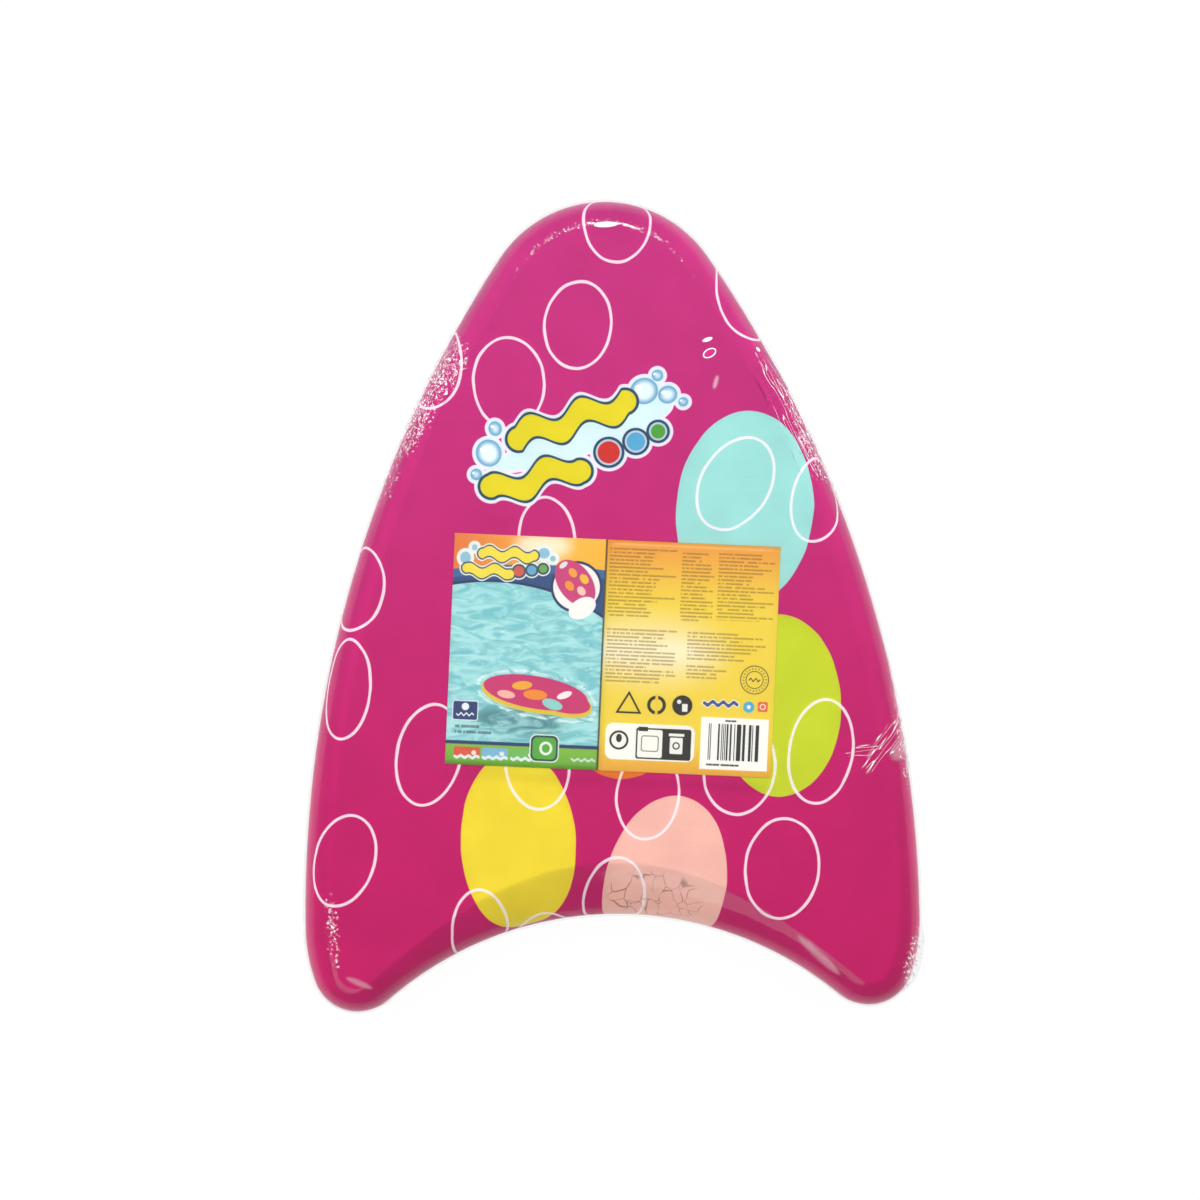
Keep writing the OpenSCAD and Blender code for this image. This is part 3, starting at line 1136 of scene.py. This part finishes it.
def card_stock(shader, printed, spot, x):
    """Lays a print on grey board, with painted shade darkening the fold's groove, and a faint fibre."""
    from_fold = calc("ABSOLUTE", minus(x, fold_x))
    # painted shade: the score groove of the fold is coloured dark
    both = lay_ink(printed, ramp(from_fold, 0.3, 0.7, 0.85, 0.0), (58, 40, 60))
    fibre = texture("Noise", spot, 1.3, Detail=3, Roughness=0.7)
    both = lay_ink(both, times(fibre, 0.05), (60, 50, 40))
    height_mm = split(object_mm())[2]
    is_top = ramp(height_mm, card_high.z - 0.26, card_high.z - 0.2)
    board_grey = blend(fibre, colour(196, 190, 178), colour(222, 218, 208))
    feed(shader.inputs["Base Color"], blend(is_top, board_grey, both))
    feed(shader.inputs["Roughness"], ramp(fibre, 0.3, 0.7, 0.36, 0.5))
    feed(shader.inputs["Normal"], bump(fibre, 0.12, 0.05))
    print(tree.nodes["Material Output"].id_data.name, "nodes", len(tree.nodes))


def lay_ink(under, mask, tint):
    return blend(mask, under, colour(*tint))


def lay_all(under, inks):
    for mask, tint in inks:
        under = lay_ink(under, mask, tint)
    return under


def filled(shape, grow=0.0):
    return ink(oval_at(spot, *shape), grow)


def boxed(shape, grow=0.0):
    return ink(plate_at(spot, *shape), grow)


# %% Right leaf: ground and small print
right_leaf, tree, shader = new_material("printed card, right leaf")
spot, x, y = card_place()
warm = ramp(y, 66.0, 22.0)
leaf = blend(warm, colour(236, 160, 56), colour(240, 214, 66))
leaf = blend(ramp(y, -36.0, -66.0), leaf, colour(232, 168, 50))
shine = ramp(oval_at(spot, 18, 3, 44, 22), -26.0, 6.0, 0.8, 0.0)
leaf = blend(shine, leaf, colour(250, 243, 214))
text_boxes = [
    (13.5, 38, 17.2, 18),
    (42, 37, 8.4, 18),
    (67, 38, 14.5, 17.5),
    (14.5, 0.5, 18, 14),
    (59.5, 6.5, 21.5, 7.8),
    (50, -6.5, 12, 3.6),
]
for mx, my, hw, hh in text_boxes:
    words = use(small_print, Point=spot, Middle=(mx, my, 0), Half=(hw, hh, 0))["Mask"]
    leaf = lay_ink(leaf, times(words, 0.52), (120, 78, 30))
print("text boxes", len(text_boxes))

# %% Right leaf: round stamp, signs and panels
DARK = (44, 42, 34)
stamp = oval_at(spot, 73.5, -9.5, 7.2, 7.2)
for grow, width in ((0, 0.45), (-2.8, 0.4)):
    leaf = lay_ink(leaf, ring_of(minus(stamp, grow), width), DARK)
from_middle = calc_vector("SUBTRACT", spot, (73.5, -9.5, 0.0))
arms = split(from_middle)
spin_angle = times(calc("ARCTAN2", arms[1], arms[0]), 22)
ticks = ramp(calc("SINE", spin_angle), 0.0, 0.5)
ticks = times(ticks, ring_of(plus(stamp, 1.45), 1.2))
leaf = lay_ink(leaf, times(ticks, 0.5), DARK)
leaf = lay_ink(leaf, ink(wave_at(spot, 73.5, -9.5, 2.6, 0.7, 2.6), 0.4), DARK)
tri_x, tri_y, _ = split(calc_vector("SUBTRACT", spot, (9.3, -25.6, 0.0)))
slant = plus(times(calc("ABSOLUTE", tri_x), 0.866), times(tri_y, 0.5))
triangle = minus(most(slant, times(tri_y, -1)), 3.4)
leaf = lay_all(leaf, [
    (ring_of(triangle, 1.0), DARK),
    (ring_of(oval_at(spot, 23.6, -24.6, 4.0, 4.0), 1.7), DARK),
    (boxed((23.6, -24.6, 0.7, 5.6)), (236, 206, 60)),
    (filled((36.9, -24.2, 5.2, 5.2)), DARK),
    (boxed((38.2, -25.4, 1.4, 2.0, 0.3)), (246, 244, 236)),
    (filled((35.2, -22.4, 1.1, 1.1)), (246, 244, 236)),
    (ink(wave_at(spot, 56.6, -22.5, 8.2, 0.9, 5.4), 1.5), (250, 246, 240)),
    (ink(wave_at(spot, 56.6, -22.5, 8.2, 0.9, 5.4), 1.0), (62, 84, 150)),
    (filled((71.1, -23.6, 2.9, 2.9)), (84, 178, 214)),
    (boxed((78.3, -23.2, 2.6, 2.6, 1.0)), (226, 108, 64)),
    (ring_of(oval_at(spot, 78.3, -23.2, 1.3, 1.3), 0.5), (250, 240, 226)),
    (filled((71.1, -23.6, 1.0, 1.0)), (250, 250, 246)),
])

# %% Right leaf: the two white panels
leaf = lay_all(leaf, [
    (boxed((21, -44, 23, 9.4, 4)), (248, 247, 238)),
    (ring_of(oval_at(spot, 5.0, -43.4, 4.4, 4.4), 1.1), DARK),
    (filled((5.0, -42.4, 1.5, 2.2)), DARK),
    (boxed((28, -44.6, 14.2, 8.0, 1.2)), DARK),
    (boxed((21, -44.6, 6.4, 7.2, 1.0)), (248, 247, 238)),
    (boxed((17.4, -37.2, 2.4, 1.1)), DARK),
    (ring_of(plate_at(spot, 21, -44.6, 4.3, 3.9, 1.2), 0.5), (110, 106, 96)),
    (boxed((34.6, -45.2, 3.3, 4.2, 0.6)), (248, 247, 238)),
    (boxed((34.6, -39.6, 4.0, 0.7, 0.3)), (248, 247, 238)),
    (ring_of(oval_at(spot, 34.6, -45.2, 1.6, 1.6), 0.7), DARK),
    (boxed((64.4, -43, 17.4, 13.4)), (250, 249, 242)),
])
bar_chance = add_node("TexWhiteNoise")
bar_chance.noise_dimensions = "1D"
feed(bar_chance.inputs["W"], calc("FLOOR", calc("DIVIDE", x, 0.44)))
bars = times(ramp(bar_chance.outputs["Value"], 0.48, 0.52), boxed((64.4, -42.2, 13.6, 9.4)))
leaf = lay_ink(leaf, bars, (40, 38, 36))
values = {"Point": spot, "Middle": (64.4, -54.0, 0), "Half": (14.0, 1.0, 0), "Pitch": 2.0}
leaf = lay_ink(leaf, use(small_print, **values)["Mask"], (70, 66, 60))
values = {"Point": spot, "Middle": (64.4, -31.2, 0), "Half": (5.0, 0.9, 0), "Pitch": 1.8}
leaf = lay_ink(leaf, use(small_print, **values)["Mask"], (70, 66, 60))

card_stock(shader, leaf, spot, x)

# %% Left leaf: sky, pool wall and water
left_leaf, tree, shader = new_material("printed card, left leaf")
spot, x, y = card_place()
sky = blend(ramp(x, -84.0, -24.0), colour(230, 132, 56), colour(248, 190, 58))
sky = blend(ramp(oval_at(spot, -38, 55, 16, 9), -8.0, 3.0, 0.75, 0.0), sky, colour(255, 248, 226))
wall = oval_at(spot, -35, -255, 300, 300)
leaf = blend(ink(wall), sky, colour(66, 108, 158))
leaf = blend(ink(wall, -4.4), leaf, colour(48, 82, 132))
pool = oval_at(spot, -62, -70, 105, 105)
leaf = blend(ink(pool, 1.4), leaf, colour(34, 58, 104))
ripple_place = calc_vector("MULTIPLY", spot, (0.06, 0.16, 0))
ripples = texture("Noise", ripple_place, 1, Detail=4, Distortion=1.6)
deep = blend(ramp(ripples, 0.36, 0.66), colour(128, 200, 204), colour(180, 230, 228))
glints_of = ramp(texture("Noise", ripple_place, 2.6, Detail=3, Distortion=2.2), 0.62, 0.74)
deep = blend(times(glints_of, 0.6), deep, colour(232, 248, 244))
under_board = ramp(oval_at(spot, -46, -36, 26, 9, -4), -8.0, 4.0, 0.8, 0.0)
murk = times(under_board, ramp(ripples, 0.35, 0.62, 1.0, 0.35))
deep = blend(murk, deep, colour(70, 128, 132))
leaf = blend(ink(pool), leaf, deep)

# %% Left leaf: the board afloat, with its splash
afloat = least(oval_at(spot, -39, -22, 27, 8.4, -7), oval_at(spot, -28, -24.5, 18, 6.6, -14))
leaf = blend(ink(afloat, 1.0), leaf, colour(226, 200, 62))
shifted_spot = calc_vector("ADD", spot, (0.0, -1.2, 0.0))
top_ovals = []
for mx, my, hw, hh, turn in [(-39, -22, 27, 8.4, 0.122), (-28, -24.5, 18, 6.6, 0.244)]:
    half_size = (hw, hh, ANY_HEIGHT)
    lying = use(oval, Point=shifted_spot, Middle=(mx, my, 0), Half=half_size, Turn=turn)
    top_ovals.append(lying["Distance"])
afloat_top = nearest(top_ovals)
leaf = blend(ink(afloat_top), leaf, colour(206, 52, 116))
dots = [
    ((-46, -17.5, 5.2, 2.2, 6), (240, 180, 52)),
    ((-39, -22, 6.2, 2.6, -2), (240, 150, 48)),
    ((-30, -26.6, 5.4, 2.6, -16), (150, 214, 206)),
    ((-24, -21.6, 4.0, 1.7, 22), (248, 240, 236)),
    ((-54, -22.4, 4.6, 2.0, -8), (244, 190, 176)),
]
for shape, tint in dots:
    leaf = lay_ink(leaf, filled(shape), tint)
foam_ring = ring_of(plus(afloat, times(ripples, -5.0)), 1.1, 0.5)
splash = times(foam_ring, ramp(ripples, 0.42, 0.55))
leaf = blend(times(splash, 0.8), leaf, colour(238, 250, 248))

# %% Left leaf: the small emblem and the round inset
small_waves = nearest(
    [
        minus(wave_at(spot, -56, 49.5, 13, 1.5, 13), 2.5),
        minus(wave_at(spot, -66, 40.6, 11, 1.4, 13), 2.4),
    ],
)
drops = [(-78, 47, 3, 3.4), (-73.5, 52.5, 1.7, 1.9), (-37.6, 51, 3.2, 3.0), (-33, 48.4, 1.8, 1.8)]
drop_edge = nearest([oval_at(spot, *shape) for shape in drops])
small_buttons = [
    ((-50.2, 41.2, 2.9, 2.9), (214, 96, 74)),
    ((-43.6, 42, 2.6, 2.6), (110, 176, 206)),
    ((-37.8, 43, 2.3, 2.3), (112, 178, 84)),
]
button_edge = nearest([oval_at(spot, *shape) for shape, tint in small_buttons])
mark = least(least(small_waves, button_edge), drop_edge)
leaf = lay_all(leaf, [
    (ink(mark, 1.5), (236, 240, 236)),
    (ink(drop_edge, -0.3), (150, 196, 216)),
    (ink(least(small_waves, button_edge), 0.8), (56, 84, 106)),
    (ink(small_waves), (242, 224, 70)),
])
for shape, tint in small_buttons:
    leaf = lay_ink(leaf, filled(shape, -0.2), tint)
leaf = lay_all(leaf, [
    (filled((-20.2, 34.4, 13.4, 13.4)), (36, 60, 108)),
    (filled((-20.2, 34.4, 12.0, 12.0)), (248, 244, 238)),
    (filled((-21.0, 36.4, 8.6, 13.4, 38)), (206, 66, 128)),
    (filled((-16.8, 23.6, 7.6, 5.0, 34)), (248, 244, 238)),
])
minis = [
    ((-22.4, 41.6, 1.9, 2.6, 40), (240, 172, 56)),
    ((-16.4, 38.6, 2.0, 2.8, 40), (238, 196, 60)),
    ((-23.8, 34.8, 2.0, 2.8, 40), (240, 160, 52)),
    ((-17.6, 32.4, 1.9, 2.6, 40), (246, 206, 190)),
    ((-27.4, 45.4, 1.3, 2.4, -50), (226, 232, 226)),
]
for shape, tint in minis:
    leaf = lay_ink(leaf, filled(shape), tint)

# %% Left leaf: the sign, the size lines and the green foot
leaf = lay_all(leaf, [
    (boxed((-74.7, -31.6, 6.7, 5.2, 1.2)), (228, 236, 240)),
    (boxed((-74.7, -31.6, 6.2, 4.7, 0.9)), (44, 66, 116)),
    (ink(wave_at(spot, -74.7, -33.6, 4.2, 0.6, 2.8), 0.45), (240, 244, 246)),
    (filled((-74.7, -29.6, 1.9, 1.9)), (240, 244, 246)),
])
values = {"Point": spot, "Middle": (-70.0, -41.2, 0), "Half": (9.6, 2.9, 0), "Pitch": 2.9}
words = use(small_print, **values)["Mask"]
leaf = lay_ink(leaf, times(words, 0.7), (40, 70, 90))
leaf = lay_ink(leaf, ramp(y, -47.2, -47.0, 1.0, 0.0), (40, 62, 112))
grass = blend(ramp(y, -49.0, -59.0), colour(138, 192, 64), colour(112, 180, 52))
leaf = blend(ramp(y, -49.0, -48.8, 1.0, 0.0), leaf, grass)
for middle, tint in ((-73, (222, 92, 56)), (-58.5, (132, 186, 216)), (-43.8, (120, 192, 96))):
    leaf = lay_ink(leaf, boxed((middle, -53.2, 6.8, 2.9, 0.4)), tint)
    leaf = lay_ink(leaf, ink(wave_at(spot, middle, -55.4, 6, 0.5, 4), 0.8), (232, 240, 240))
    leaf = lay_ink(leaf, filled((middle + 3.6, -53.2, 1.2, 1.2)), (240, 236, 226))
leaf = lay_all(leaf, [
    (boxed((-33.2, -49.4, 7.6, 7.2, 3.4)), (234, 240, 228)),
    (boxed((-33.2, -49.4, 7.0, 6.6, 3.0)), (40, 76, 84)),
    (boxed((-33.2, -49.4, 6.0, 5.6, 2.4)), (92, 176, 62)),
    (ring_of(oval_at(spot, -32.4, -49.4, 2.7, 2.9), 1.3), (240, 246, 232)),
    (ink(wave_at(spot, -13, -54.6, 5.8, 0.5, 3.6), 0.6), (214, 230, 216)),
])

card_stock(shader, leaf, spot, x)

# %% The two leaves
card.data.materials.append(left_leaf)
card.data.materials.append(right_leaf)
for polygon in card.data.polygons:
    away = (polygon.center / MM - card_mid).xy
    across = away.x * math.cos(card_turn) + away.y * math.sin(card_turn)
    polygon.material_index = int(across > fold_x)

# %% [markdown]
# ## Clear film
#
# Film shows by what it mirrors. Seen square on it returns a few hundredths of the light, and more
# at a glancing angle, which is what a Fresnel node gives. So the shader is a mix: mostly a
# Transparent shader, and by the Fresnel share a mirror. Where the film was crumpled it is crazed with
# fine white squiggles, and those are a mask that makes it whiter and less clear. Painted highlights
# join the same white mask: a dotted glint along the nose's crease, thin glints along fine creases,
# and glare patches.

# %% Crazing: short white squiggles, in patches
crazing, given, result = new_group(
    "Crazing", {"Point": ORIGIN, "Zone": 0.0}, ["Mask", "Height"]
)
bent = texture("Noise", given["Point"], 0.5, 1, Detail=2)
bent = calc_vector("MULTIPLY", calc_vector("SUBTRACT", bent, (0.5, 0.5, 0.5)), (4, 4, 4))
crumbs = texture("Noise", calc_vector("ADD", given["Point"], bent), 0.6, Detail=1)
line = calc("ABSOLUTE", minus(crumbs, 0.5))
squiggle = ramp(line, 0.018, 0.05, 1.0, 0.0)
patchy = texture("Noise", given["Point"], 0.55, Detail=2)
torn = plus(patchy, times(given["Zone"], 0.3))
here = times(ramp(torn, 0.62, 0.72), ramp(given["Zone"], 0.02, 0.2))
milky = times(ramp(torn, 0.78, 0.95), ramp(given["Zone"], 0.7, 1.0, 0.0, 0.5))
feed(result["Mask"], most(times(squiggle, here), milky))
rough_height = times(times(crumbs, given["Zone"]), 0.8)
gentle = times(texture("Noise", given["Point"], 0.12, Detail=2), 0.5)
feed(result["Height"], plus(rough_height, gentle))

# %% Drawn lines: painted highlights along long fine creases that run one way
drawn, given, result = new_group(
    "Drawn lines",
    {"Point": ORIGIN, "Middle": ORIGIN, "Half": (1.0, 1.0, 1.0), "Turn": 0.0, "Share": 0.5},
    ["Mask"],
)
turned = turned_about(given["Point"], given["Middle"], given["Turn"])
strands = calc_vector("MULTIPLY", turned, (0.03, 0.42, 0))
strand = texture("Noise", strands, 1, Detail=1)
line = ramp(calc("ABSOLUTE", minus(strand, 0.5)), 0.004, 0.021, 0.8, 0.0)
dashes = texture("Noise", calc_vector("MULTIPLY", turned, (0.16, 0.5, 0)), 1, Detail=2)
away = calc_vector("LENGTH", calc_vector("DIVIDE", turned, given["Half"]))
fading = minus(plus(dashes, given["Share"]), away)
feed(result["Mask"], times(line, ramp(fading, 0.0, 0.2)))


# %% Where the film is crazed: middle, half sizes and turn of each patch, and how badly
crazed_patches = [
    ((-86, 119), (8, 9), 0, 1.0),
    ((-82, 122), (24, 11), 62, 0.78),
    ((-97, 99), (34, 10), 60, 0.74),
    ((-113, 66), (22, 6), 66, 0.4),
    ((104, 84), (34, 5), -64, 0.62),
    ((121, 55), (14, 4), -68, 0.5),
    ((151, -60), (46, 4.5), -84, 0.7),
    ((-144, -166), (26, 4), 95, 0.5),
    ((155, -186), (22, 5), 78, 0.8),
]
crease_far = unrolled(seam_phi, 0)


def mark_crazing_and_sparkle(piece):
    """Keeps, at each vertex, how badly the film is crumpled and whitened, and a painted sparkle along
    the nose's crease, so that its finish can read them.
    """
    crazing_and_sparkle = piece.data.attributes.new("crazing_and_sparkle", "FLOAT", "POINT")
    for v, lie, stored in zip(piece.data.vertices, piece.data.attributes["flat"].data, crazing_and_sparkle.data):
        x, y, _ = v.co / MM
        worst = max(in_patch(x, y, m, h, t)[2] * full for m, h, t, full in crazed_patches)
        # painted highlight: a dotted white sparkle along the nose's crease, where the key light's glint
        # runs, goes into the same attribute as the crazing
        by_crease = max(0, 1 - abs(lie.vector[2] - crease_far) / 3)
        by_nose = max(0, 1 - math.hypot(x, y - 199) / 60)
        stored.value = max(worst, 0.69 * by_crease * min(1, 2 * by_nose))


for piece in (upper_film, lower_film):
    mark_crazing_and_sparkle(piece)

# %% Painted highlights on the film, along fine creases and as glare patches: middle, half sizes and turn of each, in mm, then how white it is
crease_glint_lines = [
    ((142, -75), (16, 6), 52, 0.62),
    ((96, 97), (46, 9), -64, 0.36),
    ((130, -77), (9, 3), 8, 0.6),
    ((-84, 138), (26, 4), 60, 0.35),
]
glares = [
    ((53, 136, 2.9, 1.2, 18), 1.0, 0.4),
    ((57, 114, 2.0, 4.4, -16), 0.3, 2.2),
    ((79.4, 131, 1.5, 0.9, -50), 0.95, 0.3),
    ((83.4, 121.5, 0.5, 2.0, 8), 0.7, 0.3),
    ((1.5, 196.0, 6.6, 1.8, 2), 1.0, 0.9),
    ((150, -77, 8, 6, 40), 0.16, 4.0),
    ((106, -182, 16, 3.4, -44), 0.16, 3.0),
    ((-131, -193, 8, 2.4, -24), 0.14, 2.0),
]
vent_hole = (54, 129, 3.4, 2.0, 28)


# %% Film material
def film_finish(name, marked):
    material, tree, shader = new_material(name)
    spot = object_mm()
    crazing_and_sparkle = use(crazing, Point=spot, Zone=attribute("crazing_and_sparkle", "Fac"))
    whitening_and_glints = crazing_and_sparkle["Mask"]
    mirrors = add_node("Fresnel").outputs[0]
    mirrors.node.inputs["IOR"].default_value = 1.42
    mirrors = times(mirrors, 0.85)
    if marked:
        # painted highlights: thin glints along fine creases and glare patches are laid into the same
        # white mask
        flat = flat_point(spot)
        for middle, half, turn, share in crease_glint_lines:
            values = {"Middle": (*middle, 0), "Half": (*half, ANY_HEIGHT), "Share": share}
            crease_glint = use(drawn, Point=flat, Turn=math.radians(-turn), **values)
            whitening_and_glints = most(whitening_and_glints, crease_glint["Mask"])
        for shape, strength, soft in glares:
            patch = ramp(oval_at(flat, *shape), -soft, 0.0, strength, 0.0)
            whitening_and_glints = most(whitening_and_glints, patch)
        vent = oval_at(flat, *vent_hole)
        whitening_and_glints = most(whitening_and_glints, ring_of(vent, 0.55, 0.15))
        mirrors = times(mirrors, ramp(vent, -0.2, 0.2))
    shader.inputs["Base Color"].default_value = (1, 1, 1, 1)
    shader.inputs["Metallic"].default_value = 1
    shader.inputs["Roughness"].default_value = 0.1
    feed(shader.inputs["Normal"], bump(crazing_and_sparkle["Height"], 0.5, 0.35))
    white = add_node("BsdfDiffuse")
    white.inputs["Color"].default_value = (0.97, 0.95, 0.97, 1)
    clear = add_node("BsdfTransparent")
    clear.inputs["Color"].default_value = (0.985, 0.985, 0.99, 1)
    glossy = mixed(mirrors, clear.outputs[0], shader.outputs[0])
    shown_as(tree, mixed(times(whitening_and_glints, 0.92), glossy, white.outputs[0]))
    print(name, "nodes", len(tree.nodes))
    return material


film_clear = film_finish("clear film", True)
film_below = film_finish("clear film below", False)

# %% [markdown]
# A real film mirrors at both of its faces, but a ray caught between two drawn faces would turn dark.
# So the outer face carries the whole mirror, and the inner face only lets light through.

# %% Inner face of the film
film_inside, tree, shader = new_material("clear film inside")
shown_as(tree, add_node("BsdfTransparent").outputs[0])
tree.nodes.remove(shader)
for piece, inward, outer in ((upper_film, -1, film_clear), (lower_film, 1, film_below)):
    piece.data.materials.append(outer)
    piece.data.materials.append(film_inside)
    for polygon in piece.data.polygons:
        polygon.material_index = int(polygon.normal.z * inward > 0.1)
    print(piece.name, "inner faces", sum(p.material_index for p in piece.data.polygons))

# %% [markdown]
# ## Each piece on its frame
#
# Each new piece rides on the one body, takes the place of its plain CAD node, and gets its finish if it
# has none yet.

# %% Pieces, with what they replace
pieces = [
    (foam_board, "foam_core", "bead_foam", bead_foam),
    (top_cloth, "top_cover", "printed_fabric", top_print),
    (under_cloth, "bottom_cover", "plain_fabric", under_dye),
    (needle_stitches, "needle_thread", "needle_thread", needle_finish),
    (bobbin_stitches, "bobbin_thread", "bobbin_thread", bobbin_finish),
    (card, "insert_card", "printed_card", None),
    (upper_film, "film_top", "clear_film", None),
    (lower_film, "film_bottom", "clear_film", None),
]
for piece, node, slot_name, finish in pieces:
    if finish:
        piece.data.materials.append(finish)
    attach(piece, "root")
    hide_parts(node)

# %% [markdown]
# The cloths and films are sheets, cut flat before they were sewn or shrunk.

# %%


# %% [markdown]
# ## Floor and light
#
# The float lies on a plain white floor. A key light stands beyond the nose, so its mirror image is
# the bright glint on the nose's crease, and the slope along the arch falls a little darker. A softer
# light to the left of the tail puts the pale sheen on the right half of the arch and on the tips.
# Two wide fills at the sides light the edges, and the film doesn't mirror them.


# %% Floor
def plain_floor():
    bm = bmesh.new()
    bmesh.ops.create_grid(bm, x_segments=1, y_segments=1, size=30)
    bmesh.ops.translate(bm, verts=bm.verts, vec=(0, 0, -0.0002))
    mesh = bpy.data.meshes.new("floor")
    bm.to_mesh(mesh)
    bm.free()
    thing = bpy.data.objects.new("floor", mesh)
    bpy.context.scene.collection.objects.link(thing)
    material, tree, shader = new_material("white floor")
    shader.inputs["Base Color"].default_value = (0.92, 0.92, 0.92, 1)
    shader.inputs["Roughness"].default_value = 0.9
    seen = add_node("LightPath").outputs["Is Camera Ray"]
    glow = add_node("Emission").outputs[0]
    shown_as(tree, mixed(times(seen, 0.97), shader.outputs[0], glow))
    mesh.materials.append(material)
    return thing


floor = plain_floor()


# %% Lights
def soft_light(name, place_at, size, watts, aim=(0, 0, 0)):
    data = bpy.data.lights.new(name, "AREA")
    data.shape = "DISK"
    data.size = size
    data.energy = watts
    light = bpy.data.objects.new(name, data)
    light.location = place_at
    light.rotation_euler = (Vector(aim) - Vector(place_at)).to_track_quat("-Z", "Y").to_euler()
    bpy.context.scene.collection.objects.link(light)
    return light


soft_light("key beyond the nose", (0.12, 1.25, 1.75), 0.4, 18)
soft_light("sheen from the tail's left", (-0.70, -1.11, 1.69), 1.5, 11)
for side, name in ((-1, "left side"), (1, "right side")):
    fill = soft_light(name, (side * 1.6, 0.3, 0.95), 2.0, 18)
    fill.visible_glossy = False
world = bpy.data.worlds.new("studio")
world.use_nodes = True
world.node_tree.nodes["Background"].inputs["Color"].default_value = (1, 1, 1, 1)
world.node_tree.nodes["Background"].inputs["Strength"].default_value = 0.6
bpy.context.scene.world = world
bpy.context.scene.view_settings.view_transform = "Standard"
